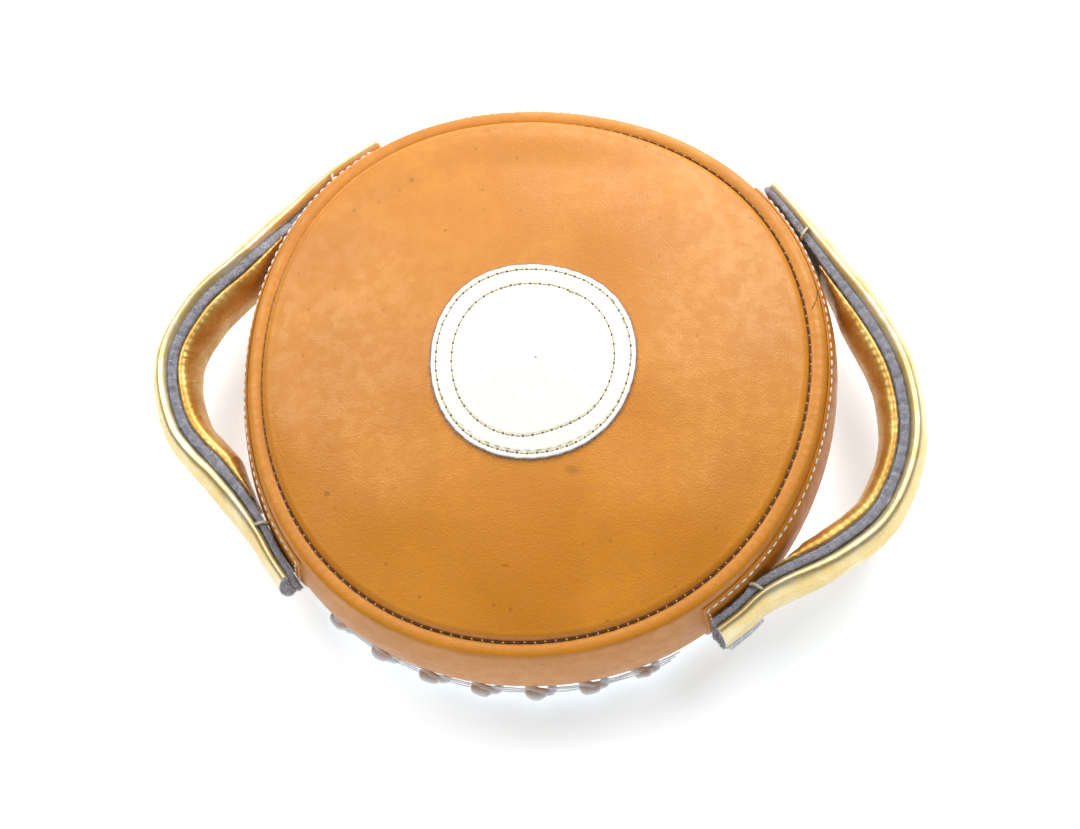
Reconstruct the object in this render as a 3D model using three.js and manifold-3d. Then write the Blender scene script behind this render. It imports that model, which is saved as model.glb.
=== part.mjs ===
// A round stuffed leather striking pad with a padded grip on each side, lying face up on its back.
// Millimetres, +Z up out of the face. The grips lie along X, and the laced edge faces -Y.

import * as THREE from "three";
import { mergeVertices } from "three/addons/utils/BufferGeometryUtils.js";
import Module from "manifold-3d";

const wasm = await Module();
wasm.setup();

// Clearance between pieces that are sewn together.
const GAP = 0.3;
const LEATHER = 3;
const TURN_STEPS = 60;
const STEP_ANGLE = 360 / TURN_STEPS;

// The wall: widest between foot and shoulder, with a rolled rim that turns down into the face seam.
const WALL_RADIUS = 190;
const WIDEST_HEIGHT = 40;
const FOOT_HEIGHT = 11;
const FOOT_RADIUS = 186;
const SHOULDER_HEIGHT = 85.4;
const SHOULDER_RADIUS = 180;
const RIM_RADIUS = 4.4;
const RIM_DEPTH = 9;
const RIM_STEPS = 4;
const OUTER_WALL_STEPS = 6;
const INNER_WALL_STEPS = 3;

// The face, a dome that turns down into the seam groove.
const SEAM_RADIUS = 171.6;
const FACE_EDGE_HEIGHT = 87;
const DOME_RISE = 17.5;
const DOME_POWER = 2.4;
const FACE_EDGE_ROUND = 3.6;
const FACE_EDGE_STEPS = 2;
const DOME_START_SHARE = 0.94;
const DOME_STEPS = 5;

// The back, flat in the middle and turned up to the foot of the wall.
const BACK_FLAT_RADIUS = 150;
const BACK_TURN_RADIUS = 168;
const BACK_EDGE_RADIUS = 186;
const BACK_EDGE_HEIGHT = 8;
const BACK_THICKNESS = 2.7;

const TARGET_RADIUS = 63.3;
const TARGET_OFFSET = 2.4;
const TARGET_THICKNESS = 1.5;
const TARGET_STEPS = 3;

// Patches sewn on the wall, given by their middle and half spread in degrees.
const PATCH_THICKNESS = 1.2;
const PATCH_ROWS = 5;
const HANDLE_PATCH_SPREAD = 48;
const HANDLE_PATCH_LOW = 16;
const HANDLE_PATCH_HIGH = 79;
const FAR_PATCH_MIDDLE = 90;
const FAR_PATCH_SPREAD = 24;
const FAR_PATCH_LOW = 20;
const FAR_PATCH_HIGH = 77;

// The laced edge.
const LACED_MIDDLE = -90;
const LACED_SPREAD = 36;
const LACE_MIDDLE = -92;
const STRIP_THICKNESS = 2.7;
const STRIP_LOW = 6;
const STRIP_HIGH = 13;
const LACE_WIDTH = 7;
const LACE_THICKNESS = 1.8;
const LACE_LOOPS = 7;
const LACE_PITCH = 10.3;
const LACE_SLANT = 1.6;
const LACE_HOLE_MARGIN = 0.5;
const LACE_STEPS_PER_LOOP = 10;

// The handles: a raw seam layer between an outer strap and an inner grip.
const HANDLE_LOW = 28;
const HANDLE_HIGH = 68;
const SEAM_LAYER_HALF = 2.7;
const SEAM_LAYER_PROUD = 2;
const PLY_GAP = 0.5;
const STRAP_DEPTH = 13.5;
const TAB_DEPTH = 5.6;
const TAB_STAND_OFF = 1.1;
const GRIP_DEPTH = 10.5;
const TAB_BEND_ANGLE = 37;
const TAB_END_ANGLE = 47.5;
const FAR_LEFT_END_ANGLE = 50.5;
const FAR_LEFT_DROP = 12;
const DROP_START = 55;
const DROP_END = 110;
const EDGE_THICKNESS = 1.2;
const STRAP_FULLNESS = 0.75;
const BOW_REACH = 22;
const PADDING_FULL_ANGLE = 25;
const GRIP_START_REACH = 3.5;
const GRIP_ROOM_SHARE = 0.8;
const TAB_EDGE_START = 0.9;
const TAB_EDGE_WIDTH = 6.5;
const TAB_EDGE_THICKNESS = 7.5;
const HANDLE_STEPS = 30;
const HANDLE_ROWS = 4;
const TAB_STEPS = 2;

// Where the middle of each handle runs between its bends, from the far side to the near side.
const BOW_RIGHT = [
  [172, 99],
  [202, 62],
  [224, 27],
  [233, -14],
  [222, -58],
  [196, -86],
];
const BOW_LEFT = [
  [-178, 86],
  [-200, 54],
  [-225, 21],
  [-236, -14],
  [-222, -55],
  [-192, -82],
];

const TAN = { color: 0xd58a38, roughness: 0.55, metalness: 0 };
const GOLD = { color: 0xd8b55e, roughness: 0.35, metalness: 0.6 };
const PALE_GOLD = { color: 0xefe6c0, roughness: 0.4, metalness: 0.4 };
const SILVER = { color: 0xdde1e6, roughness: 0.4, metalness: 0.3 };
const GREY_RAW = { color: 0x8b8896, roughness: 0.95, metalness: 0 };
const WHITE_LACE = { color: 0xe6e8ec, roughness: 0.8, metalness: 0 };

// The hand-sewn outline is a few millimetres out of round, with two, three and four low lobes.
const LOBES = [
  { count: 2, swell: 0.7, angle: 22 },
  { count: 3, swell: 2.4, angle: 24 },
  { count: 4, swell: 2, angle: -41 },
];

const radians = THREE.MathUtils.degToRad;

function outOfRound(angle) {
  return LOBES.reduce(
    (sum, lobe) => sum + lobe.swell * Math.cos(lobe.count * (angle - radians(lobe.angle))),
    0,
  );
}

// Moves every vertex in or out by the uneven outline, so that neighbours keep their clearance.
function handSewn(geometry) {
  const place = geometry.attributes.position;
  for (let vertex = 0; vertex < place.count; vertex += 1) {
    const x = place.getX(vertex);
    const y = place.getY(vertex);
    const scale = 1 + outOfRound(Math.atan2(y, x)) / WALL_RADIUS;
    place.setX(vertex, x * scale);
    place.setY(vertex, y * scale);
  }
  return geometry;
}

function polar(angle, radius, height) {
  return new THREE.Vector3(
    radius * Math.cos(radians(angle)),
    radius * Math.sin(radians(angle)),
    height,
  );
}

// Evenly spaced numbers from start to end, both included.
function spaced(start, end, steps) {
  return Array.from({ length: steps + 1 }, (_, step) => start + ((end - start) * step) / steps);
}

// Joins rings of equal length into one closed solid. A ring runs along one side of its section and
// comes back along the other, so its two ends close as ladders.
function loft(rings) {
  const count = rings[0].length;
  const half = count / 2;
  const index = [];
  for (let ring = 0; ring < rings.length - 1; ring += 1) {
    const here = ring * count;
    const there = here + count;
    for (let step = 0; step < count; step += 1) {
      const next = (step + 1) % count;
      index.push(here + step, here + next, there + next);
      index.push(here + step, there + next, there + step);
    }
  }
  const last = (rings.length - 1) * count;
  for (let step = 0; step < half - 1; step += 1) {
    const across = count - 1 - step;
    index.push(step, across, across - 1, step, across - 1, step + 1);
    index.push(last + step, last + across - 1, last + across);
    index.push(last + step, last + step + 1, last + across - 1);
  }
  const positions = rings.flat().flatMap((point) => point.toArray());
  const geometry = new THREE.BufferGeometry();
  geometry.setAttribute("position", new THREE.Float32BufferAttribute(positions, 3));
  geometry.setIndex(index);
  return geometry;
}

// Turns a profile of [radius, height] pairs about Z.
function turned(profile) {
  const points = profile.map(([radius, height]) => new THREE.Vector2(radius, height));
  return new THREE.LatheGeometry(points, TURN_STEPS).rotateX(Math.PI / 2);
}

function toManifold(geometry) {
  const bare = geometry.clone();
  bare.deleteAttribute("normal");
  bare.deleteAttribute("uv");
  const merged = mergeVertices(bare, 1e-3);
  return new wasm.Manifold(
    new wasm.Mesh({
      numProp: 3,
      vertProperties: new Float32Array(merged.attributes.position.array),
      triVerts: new Uint32Array(merged.index.array),
    }),
  );
}

// The largest body of a manifold as a geometry, without crumbs left beside a cut.
function toGeometry(manifold) {
  const bodies = manifold.decompose();
  const largest = bodies.reduce((best, body) => (body.volume() > best.volume() ? body : best));
  const mesh = largest.getMesh();
  const geometry = new THREE.BufferGeometry();
  geometry.setAttribute("position", new THREE.BufferAttribute(mesh.vertProperties, 3));
  geometry.setIndex(new THREE.BufferAttribute(mesh.triVerts, 1));
  return geometry;
}

// Joins each ring to the next by their convex hull, which stays sound round tight turns.
function hullChain(rings) {
  const links = rings
    .slice(1)
    .map((ring, place) =>
      wasm.Manifold.hull([...rings[place], ...ring].map((point) => point.toArray())),
    );
  return wasm.Manifold.union(links);
}

function named(name, geometry, look) {
  geometry.computeVertexNormals();
  const mesh = new THREE.Mesh(geometry, new THREE.MeshStandardMaterial(look));
  mesh.name = name;
  return mesh;
}

// Outer radius of the wall at a height, before the outline is made uneven.
function wallRadius(height) {
  if (height < WIDEST_HEIGHT) {
    const fall = (WIDEST_HEIGHT - height) / (WIDEST_HEIGHT - FOOT_HEIGHT);
    return WALL_RADIUS - (WALL_RADIUS - FOOT_RADIUS) * fall ** 2;
  }
  const rise = (height - WIDEST_HEIGHT) / (SHOULDER_HEIGHT - WIDEST_HEIGHT);
  return WALL_RADIUS - (WALL_RADIUS - SHOULDER_RADIUS) * rise ** 2;
}

// The rolled rim, from the shoulder over the top and down into the seam.
function rimArc() {
  const drop = (WALL_RADIUS - SHOULDER_RADIUS) / (SHOULDER_HEIGHT - WIDEST_HEIGHT);
  const start = Math.atan(2 * drop);
  const middleRadius = SHOULDER_RADIUS - RIM_RADIUS * Math.cos(start);
  const middleHeight = SHOULDER_HEIGHT - RIM_RADIUS * Math.sin(start);
  return spaced(start, Math.PI, RIM_STEPS).map((angle) => [
    middleRadius + RIM_RADIUS * Math.cos(angle),
    middleHeight + RIM_RADIUS * Math.sin(angle),
  ]);
}

const RIM_ARC = rimArc();
const [RIM_INNER_RADIUS, RIM_INNER_HEIGHT] = RIM_ARC[RIM_ARC.length - 1];
const FOLD_HEIGHT = SHOULDER_HEIGHT - RIM_DEPTH;
const INNER_WALL_TOP = FOLD_HEIGHT - LEATHER;

function sideBand() {
  const outer = spaced(FOOT_HEIGHT, SHOULDER_HEIGHT, OUTER_WALL_STEPS).map((height) => [
    wallRadius(height),
    height,
  ]);
  const inner = spaced(INNER_WALL_TOP, FOOT_HEIGHT, INNER_WALL_STEPS).map((height) => [
    wallRadius(height) - LEATHER,
    height,
  ]);
  const section = [...outer, ...RIM_ARC.slice(1), [RIM_INNER_RADIUS, FOLD_HEIGHT], ...inner];
  return turned([...section, section[0]]);
}

function domeHeight(radius) {
  return FACE_EDGE_HEIGHT + DOME_RISE * (1 - (radius / SEAM_RADIUS) ** DOME_POWER);
}

// Height of the back's outer side, which is flat out to BACK_FLAT_RADIUS.
function backHeight(radius) {
  const out = Math.max(0, radius - BACK_FLAT_RADIUS) / (BACK_EDGE_RADIUS - BACK_FLAT_RADIUS);
  return BACK_EDGE_HEIGHT * out ** 2;
}

function facePanel() {
  const edge = SEAM_RADIUS - GAP;
  const roundRadius = edge - FACE_EDGE_ROUND;
  const roundHeight = domeHeight(roundRadius) - FACE_EDGE_ROUND;
  const sideFoot = FOOT_HEIGHT + GAP;
  const under = [0, BACK_FLAT_RADIUS, BACK_TURN_RADIUS].map((radius) => [
    radius,
    backHeight(radius) + BACK_THICKNESS + GAP,
  ]);
  const side = spaced(sideFoot, INNER_WALL_TOP - GAP, INNER_WALL_STEPS).map((height) => [
    wallRadius(height) - LEATHER - GAP,
    height,
  ]);
  const turnDown = spaced(0, Math.PI / 2, FACE_EDGE_STEPS).map((angle) => [
    roundRadius + FACE_EDGE_ROUND * Math.cos(angle),
    roundHeight + FACE_EDGE_ROUND * Math.sin(angle),
  ]);
  const dome = spaced(DOME_START_SHARE * roundRadius, 0, DOME_STEPS).map((radius) => [
    radius,
    domeHeight(radius),
  ]);
  return turned([...under, ...side, [edge, FOLD_HEIGHT - GAP], ...turnDown, ...dome]);
}

function backPanel() {
  const radii = [BACK_FLAT_RADIUS, BACK_TURN_RADIUS, BACK_EDGE_RADIUS];
  const outside = radii.map((radius) => [radius, backHeight(radius)]);
  const inside = radii.map((radius) => [radius, backHeight(radius) + BACK_THICKNESS]).reverse();
  return turned([[0, 0], ...outside, ...inside, [0, BACK_THICKNESS]]);
}

// A disc draped over the dome, a little to one side of its middle.
function targetPatch() {
  const radii = spaced(0, TARGET_RADIUS, TARGET_STEPS);
  const bottom = radii.map((radius) => [radius, GAP]);
  const top = radii.map((radius) => [radius, GAP + TARGET_THICKNESS]).reverse();
  const disc = turned([...bottom, ...top]);
  const place = disc.attributes.position;
  for (let vertex = 0; vertex < place.count; vertex += 1) {
    const x = place.getX(vertex) + TARGET_OFFSET;
    const y = place.getY(vertex);
    place.setX(vertex, x);
    place.setZ(vertex, place.getZ(vertex) + domeHeight(Math.hypot(x, y)));
  }
  return disc;
}

// A sheet that lies on the wall, between two heights and two angles.
function wallPatch(middle, spread, low, high) {
  const steps = Math.round((2 * spread) / STEP_ANGLE);
  const heights = spaced(low, high, PATCH_ROWS);
  const rings = spaced(middle - spread, middle + spread, steps).map((angle) => [
    ...heights.map((height) => polar(angle, wallRadius(height) + GAP + PATCH_THICKNESS, height)),
    ...heights.map((height) => polar(angle, wallRadius(height) + GAP, height)).reverse(),
  ]);
  return loft(rings.reverse());
}

function lacingStrip() {
  const inner = BACK_EDGE_RADIUS + GAP;
  const outer = inner + STRIP_THICKNESS;
  const lean = wallRadius(STRIP_HIGH) + GAP - inner;
  const steps = Math.round((2 * LACED_SPREAD) / STEP_ANGLE);
  const first = LACED_MIDDLE - LACED_SPREAD;
  const rings = spaced(first, LACED_MIDDLE + LACED_SPREAD, steps).map((angle) => [
    polar(angle, outer, STRIP_LOW),
    polar(angle, outer + lean, STRIP_HIGH),
    polar(angle, inner + lean, STRIP_HIGH),
    polar(angle, inner, STRIP_LOW),
  ]);
  return loft(rings.reverse());
}

// One turn of the whip stitch: out through the wall, over the strip, under the edge and back in
// through the back. Each stop is [turn in lace slants, radius, height].
const LACE_TURN = [
  [-1, 181, 15],
  [-1, 186, 18.5],
  [-0.7, 190.6, 16],
  [0, 191.4, 10.5],
  [0.8, 189.6, 4.8],
  [1, 184, 4.2],
  [1.2, 179.5, 6.8],
  [1.4, 178.5, 11.5],
];
const LACE_CORE_RADIUS = 183;
const LACE_CORE_HEIGHT = 11;

function laceStops() {
  return Array.from({ length: LACE_LOOPS }, (_, loop) => {
    const middle = LACE_MIDDLE + (loop - (LACE_LOOPS - 1) / 2) * LACE_PITCH;
    return LACE_TURN.map(([turn, radius, height]) =>
      polar(middle + turn * LACE_SLANT, radius, height),
    );
  }).flat();
}

// Rings along the lace, with a margin round its section.
function laceRings(margin) {
  const curve = new THREE.CatmullRomCurve3(laceStops(), false, "centripetal");
  const steps = LACE_LOOPS * LACE_STEPS_PER_LOOP;
  const halfWidth = LACE_WIDTH / 2 + margin;
  const halfThick = LACE_THICKNESS / 2 + margin;
  const section = [
    [-halfWidth, -halfThick / 2],
    [0, -halfThick],
    [halfWidth, -halfThick / 2],
    [halfWidth, halfThick / 2],
    [0, halfThick],
    [-halfWidth, halfThick / 2],
  ];
  return spaced(0, 1, steps).map((share) => {
    const point = curve.getPoint(share);
    const along = curve.getTangent(share);
    const angle = THREE.MathUtils.radToDeg(Math.atan2(point.y, point.x));
    const outward = point.clone().sub(polar(angle, LACE_CORE_RADIUS, LACE_CORE_HEIGHT));
    const across = new THREE.Vector3().crossVectors(outward, along).normalize();
    const up = new THREE.Vector3().crossVectors(along, across).normalize();
    return section.map(([side, lift]) =>
      point.clone().addScaledVector(across, side).addScaledVector(up, lift),
    );
  });
}

// The lace stops one ring short of the ends of its room.
function lace() {
  return toGeometry(hullChain(laceRings(0).slice(1, -1)));
}

// The room that the lace needs in the pieces it runs through.
function laceRoom() {
  return hullChain(laceRings(LACE_HOLE_MARGIN));
}

// Inner face of a handle tab, on the patch that it is sewn to.
const TAB_FACE = PATCH_THICKNESS + GAP + TAB_STAND_OFF;
const TAB_MIDDLE_RADIUS = WALL_RADIUS + TAB_FACE + SEAM_LAYER_HALF;
const HANDLE_MIDDLE_HEIGHT = (HANDLE_LOW + HANDLE_HIGH) / 2;

// The middle line of a handle's seam layer: along the wall, out in a bow, and along the wall again.
// A side is 1 on the right and -1 on the left.
function handleCurve(side, bow) {
  const onTab = (angle) => {
    const point = polar(angle, TAB_MIDDLE_RADIUS, 0);
    return point.setX(side * point.x);
  };
  const farEnd = side > 0 ? TAB_END_ANGLE : FAR_LEFT_END_ANGLE;
  const farTab = spaced(farEnd, TAB_BEND_ANGLE, TAB_STEPS);
  const nearTab = spaced(TAB_BEND_ANGLE, TAB_END_ANGLE, TAB_STEPS);
  const stops = [
    ...farTab.map((angle) => onTab(angle)),
    ...bow.map(([x, y]) => new THREE.Vector3(x, y, 0)),
    ...nearTab.map((angle) => onTab(-angle)),
  ];
  return new THREE.CatmullRomCurve3(stops, false, "centripetal");
}

// How much further out than the tabs a point of the handle's middle line lies.
function reachFromWall(point) {
  return Math.hypot(point.x, point.y) - TAB_MIDDLE_RADIUS;
}

// How far the handle is padded: 0 on the flat tabs and 1 along the bow.
function paddingShare(point) {
  const angle = THREE.MathUtils.radToDeg(Math.atan2(Math.abs(point.y), Math.abs(point.x)));
  return 1 - THREE.MathUtils.smoothstep(angle, PADDING_FULL_ANGLE, TAB_BEND_ANGLE);
}

// How far the left handle is sewn below its level: 0 along the bow, and the whole drop at its far tab.
function dropAt(side, point) {
  return side > 0 ? 0 : FAR_LEFT_DROP * THREE.MathUtils.smoothstep(point.y, DROP_START, DROP_END);
}

// A handle piece through the given places on the curve, between two heights. It leans with the wall
// where it is sewn on, and stands upright along the bow. faces(bulge, point) gives its inner and outer
// face, measured outwards from the middle line, where bulge is 0 at the edges and 1 at mid-height.
function handlePiece({ side, curve, places, heights, faces }) {
  const [low, high] = heights;
  const turns = spaced(0, Math.PI, HANDLE_ROWS);
  const rings = places.map((place) => {
    const point = curve.getPointAt(place);
    const along = curve.getTangentAt(place);
    const outward = new THREE.Vector3(-side * along.y, side * along.x, 0);
    const upright = THREE.MathUtils.smoothstep(reachFromWall(point), 0, BOW_REACH);
    const drop = dropAt(side, point);
    const stops = turns.map((turn) => {
      const height = low + ((high - low) * (1 - Math.cos(turn))) / 2 - drop;
      const lean = (1 - upright) * (wallRadius(height) - wallRadius(HANDLE_MIDDLE_HEIGHT));
      const [inner, outer] = faces(Math.sin(turn), point);
      const at = (offset) => point.clone().addScaledVector(outward, offset + lean).setZ(height);
      return [at(outer), at(inner)];
    });
    return [...stops.map((stop) => stop[0]), ...stops.map((stop) => stop[1]).reverse()];
  });
  return loft(side > 0 ? rings : rings.reverse());
}

// All pieces of a handle share these places on its curve, so that their facets match.
const HANDLE_PLACES = spaced(0, 1, HANDLE_STEPS);

function seamLayer(side, curve) {
  return handlePiece({
    side,
    curve,
    places: HANDLE_PLACES,
    heights: [HANDLE_LOW - SEAM_LAYER_PROUD, HANDLE_HIGH + SEAM_LAYER_PROUD],
    faces: () => [-SEAM_LAYER_HALF, SEAM_LAYER_HALF],
  });
}

function strap(side, curve) {
  const face = SEAM_LAYER_HALF + PLY_GAP;
  return handlePiece({
    side,
    curve,
    places: HANDLE_PLACES,
    heights: [HANDLE_LOW, HANDLE_HIGH],
    faces: (bulge, point) => {
      const share = paddingShare(point);
      const depth = THREE.MathUtils.lerp(TAB_DEPTH, STRAP_DEPTH, share) - EDGE_THICKNESS;
      return [face, face + EDGE_THICKNESS + depth * bulge ** STRAP_FULLNESS];
    },
  });
}

function grip(side, curve) {
  const face = -SEAM_LAYER_HALF - PLY_GAP;
  return handlePiece({
    side,
    curve,
    places: HANDLE_PLACES.filter(
      (place) => reachFromWall(curve.getPointAt(place)) > GRIP_START_REACH,
    ),
    heights: [HANDLE_LOW, HANDLE_HIGH],
    faces: (bulge, point) => {
      const room = GRIP_ROOM_SHARE * reachFromWall(point) - GAP;
      const depth = Math.min(GRIP_DEPTH, room) - EDGE_THICKNESS;
      return [face - EDGE_THICKNESS - depth * bulge ** STRAP_FULLNESS, face];
    },
  });
}

// The raw edge that shows below the strap on the near tab of the right handle.
function tabEdge(side, curve) {
  const top = HANDLE_LOW - GAP;
  return handlePiece({
    side,
    curve,
    places: HANDLE_PLACES.filter((place) => place > TAB_EDGE_START),
    heights: [top - TAB_EDGE_WIDTH, top],
    faces: () => [SEAM_LAYER_HALF + PLY_GAP, SEAM_LAYER_HALF + PLY_GAP + TAB_EDGE_THICKNESS],
  });
}

function buildPad() {
  const pad = new THREE.Group();
  const room = laceRoom();
  const laced = (geometry) => handSewn(toGeometry(toManifold(geometry).subtract(room)));
  pad.add(named("face_panel", laced(facePanel()), TAN));
  pad.add(named("side_band", laced(sideBand()), TAN));
  pad.add(named("back_panel", laced(backPanel()), SILVER));
  pad.add(named("lacing_strip", laced(lacingStrip()), SILVER));
  pad.add(named("lace", handSewn(lace()), WHITE_LACE));
  pad.add(named("target_patch", handSewn(targetPatch()), PALE_GOLD));
  const farPatch = wallPatch(FAR_PATCH_MIDDLE, FAR_PATCH_SPREAD, FAR_PATCH_LOW, FAR_PATCH_HIGH);
  pad.add(named("far_patch", handSewn(farPatch), SILVER));
  return pad;
}

function buildHandle(label, side, bow) {
  const handle = new THREE.Group();
  const curve = handleCurve(side, bow);
  const middle = side > 0 ? 0 : 180;
  const patch = wallPatch(middle, HANDLE_PATCH_SPREAD, HANDLE_PATCH_LOW, HANDLE_PATCH_HIGH);
  handle.add(named("handle_patch_" + label, handSewn(patch), TAN));
  handle.add(named("strap_" + label, handSewn(strap(side, curve)), GOLD));
  handle.add(named("seam_" + label, handSewn(seamLayer(side, curve)), GREY_RAW));
  handle.add(named("grip_" + label, handSewn(grip(side, curve)), GOLD));
  return handle;
}

const group = new THREE.Group();
group.add(buildPad());
group.add(buildHandle("left", -1, BOW_LEFT));
group.add(buildHandle("right", 1, BOW_RIGHT));
group.add(named("tab_edge_right", handSewn(tabEdge(1, handleCurve(1, BOW_RIGHT))), SILVER));

export default group;
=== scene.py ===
"""A round stuffed leather striking pad with a padded handle on each side, lying face up.

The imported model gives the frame. Sizes here are in millimetres until a mesh is made.
"""

import math

import bpy
import numpy as np
from bpy.props import FloatProperty, FloatVectorProperty, PointerProperty
from mathutils import Matrix, Vector


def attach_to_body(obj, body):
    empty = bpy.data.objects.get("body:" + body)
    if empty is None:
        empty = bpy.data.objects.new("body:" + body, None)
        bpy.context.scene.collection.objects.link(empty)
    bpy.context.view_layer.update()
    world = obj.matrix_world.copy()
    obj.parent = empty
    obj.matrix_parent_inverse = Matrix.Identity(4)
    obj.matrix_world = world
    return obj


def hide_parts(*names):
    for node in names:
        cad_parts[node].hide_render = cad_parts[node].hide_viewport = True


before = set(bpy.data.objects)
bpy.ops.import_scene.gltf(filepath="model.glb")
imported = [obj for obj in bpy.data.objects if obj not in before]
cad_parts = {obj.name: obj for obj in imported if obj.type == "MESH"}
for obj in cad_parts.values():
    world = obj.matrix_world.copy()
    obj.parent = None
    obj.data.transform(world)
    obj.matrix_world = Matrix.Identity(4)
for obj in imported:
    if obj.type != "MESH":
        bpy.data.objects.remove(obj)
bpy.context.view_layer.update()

bl_info = {
    "name": "Leather Striking Pad",
    "version": (1, 0, 0),
    "blender": (4, 5, 0),
    "location": "3D Viewport > Sidebar > Striking Pad",
    "description": "Builds a round stuffed leather striking pad with two padded handles",
    "category": "Object",
}

MM = 0.001

# The wall, the face and the back, as turned profiles.
WALL_RADIUS = 190
WIDEST_HEIGHT = 40
FOOT_HEIGHT = 11
FOOT_RADIUS = 186
SHOULDER_HEIGHT = 85.4
SHOULDER_RADIUS = 180
RIM_RADIUS = 4.4
RIM_SOFT_HEIGHT = 83.6
RIM_SOFTENING = 0.6
FOLD_HEIGHT = 76.4
LEATHER = 3
SEAM_RADIUS = 171.6
FACE_EDGE_HEIGHT = 87
DOME_RISE = 17.5
DOME_POWER = 2.4
FACE_EDGE_ROUND = 6
FACE_BULGE = 3.2
BACK_FLAT_RADIUS = 150
BACK_EDGE_RADIUS = 186
BACK_EDGE_HEIGHT = 8
BACK_THICKNESS = 2.7

TARGET_RADIUS = 63.3
TARGET_OFFSET = 2.4
TARGET_THICKNESS = 1.5
PATCH_THICKNESS = 1.2
GAP = 0.3

# The handles: a raw seam layer between an outer strap and an inner grip.
HANDLE_LOW = 28
HANDLE_HIGH = 68
SEAM_LAYER_HALF = 2.7
PLY_GAP = 0.5
STRAP_DEPTH = 13.5
TAB_DEPTH = 7.5
GRIP_DEPTH = 10.5
EDGE_THICKNESS = 1.2
STRAP_FULLNESS = 0.75
TAB_BEND_ANGLE = 37
TAB_END_ANGLE = 47.5
FAR_LEFT_END_ANGLE = 50.5
FAR_LEFT_DROP = 12
DROP_START = 55
DROP_END = 110
PADDING_FULL_ANGLE = 18
PADDING_END_ANGLE = 46
TAB_MIDDLE_RADIUS = WALL_RADIUS + PATCH_THICKNESS + GAP + 1.1 + SEAM_LAYER_HALF
BOWS = {
    1: [(172, 99), (202, 62), (224, 27), (233, -14), (222, -58), (196, -86)],
    -1: [(-178, 86), (-200, 54), (-225, 21), (-236, -14), (-222, -55), (-192, -82)],
}
SIDE_NAMES = {1: "right", -1: "left"}

# The hand-sewn outline is out of round by these lobes: count, swell and angle.
LOBES = ((2, 0.7, 22), (3, 2.4, 24), (4, 2.0, -41))


# Shape of the pad

def hand_sewn(points):
    """Moves points in or out with the uneven outline of the pad."""
    angle = np.arctan2(points[..., 1], points[..., 0])
    swell = sum(s * np.cos(n * (angle - math.radians(at))) for n, s, at in LOBES)
    scaled = np.array(points, float)
    scaled[..., :2] *= (1 + swell / WALL_RADIUS)[..., None]
    return scaled


def polar(angle, radius, height):
    """Points at an angle in degrees, a radius and a height."""
    angle, radius, height = np.broadcast_arrays(angle, radius, height)
    turn = np.radians(angle.astype(float))
    return np.stack([radius * np.cos(turn), radius * np.sin(turn), height], -1)


def wall_radius(height):
    """Outer radius of the wall at a height."""
    height = np.asarray(height, float)
    low = (WIDEST_HEIGHT - height) / (WIDEST_HEIGHT - FOOT_HEIGHT)
    high = (height - WIDEST_HEIGHT) / (SHOULDER_HEIGHT - WIDEST_HEIGHT)
    below = WALL_RADIUS - (WALL_RADIUS - FOOT_RADIUS) * low**2
    above = WALL_RADIUS - (WALL_RADIUS - SHOULDER_RADIUS) * high**2
    return np.where(height < WIDEST_HEIGHT, below, above)


def dome_height(radius):
    """Height of the face's outer side."""
    return FACE_EDGE_HEIGHT + DOME_RISE * (1 - (np.abs(radius) / SEAM_RADIUS) ** DOME_POWER)


def back_height(radius):
    """Height of the back's outer side."""
    out = np.maximum(0, np.asarray(radius, float) - BACK_FLAT_RADIUS)
    return BACK_EDGE_HEIGHT * (out / (BACK_EDGE_RADIUS - BACK_FLAT_RADIUS)) ** 2


def rim_profile(steps):
    """Radius and height over the rolled rim, from the shoulder to the seam."""
    slope = (WALL_RADIUS - SHOULDER_RADIUS) / (SHOULDER_HEIGHT - WIDEST_HEIGHT)
    start = math.atan(2 * slope)
    radius = SHOULDER_RADIUS - RIM_RADIUS * math.cos(start)
    height = SHOULDER_HEIGHT - RIM_RADIUS * math.sin(start)
    turn = np.linspace(start, math.pi, steps)
    return np.stack([radius + RIM_RADIUS * np.cos(turn), height + RIM_RADIUS * np.sin(turn)], -1)


def outer_profile():
    """Radius and height up the wall and over the rim."""
    height = np.linspace(FOOT_HEIGHT, SHOULDER_HEIGHT, 40)
    wall = np.stack([wall_radius(height), height], -1)
    return np.concatenate([wall, rim_profile(16)[1:]])


def on_wall(angle, height, proud=0.0):
    """Points that stand proud of the wall by a distance."""
    return polar(angle, wall_radius(height) + proud, height)


def swells(seed, count, shortest, longest):
    """A smooth uneven surface with waves between two lengths, from about -1 to 1."""
    random = np.random.default_rng(seed)
    bearing = random.uniform(0, math.pi, count)
    length = random.uniform(shortest, longest, count)
    phase = random.uniform(0, 2 * math.pi, count)

    def height(x, y):
        waves = [
            np.sin(2 * math.pi * (x * math.cos(b) + y * math.sin(b)) / n + p)
            for b, n, p in zip(bearing, length, phase)
        ]
        return sum(waves) / math.sqrt(count)

    return height


def smoothstep(value, low, high):
    """0 below low, 1 above high and smooth between."""
    share = np.clip((np.asarray(value, float) - low) / (high - low), 0, 1)
    return share * share * (3 - 2 * share)


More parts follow.
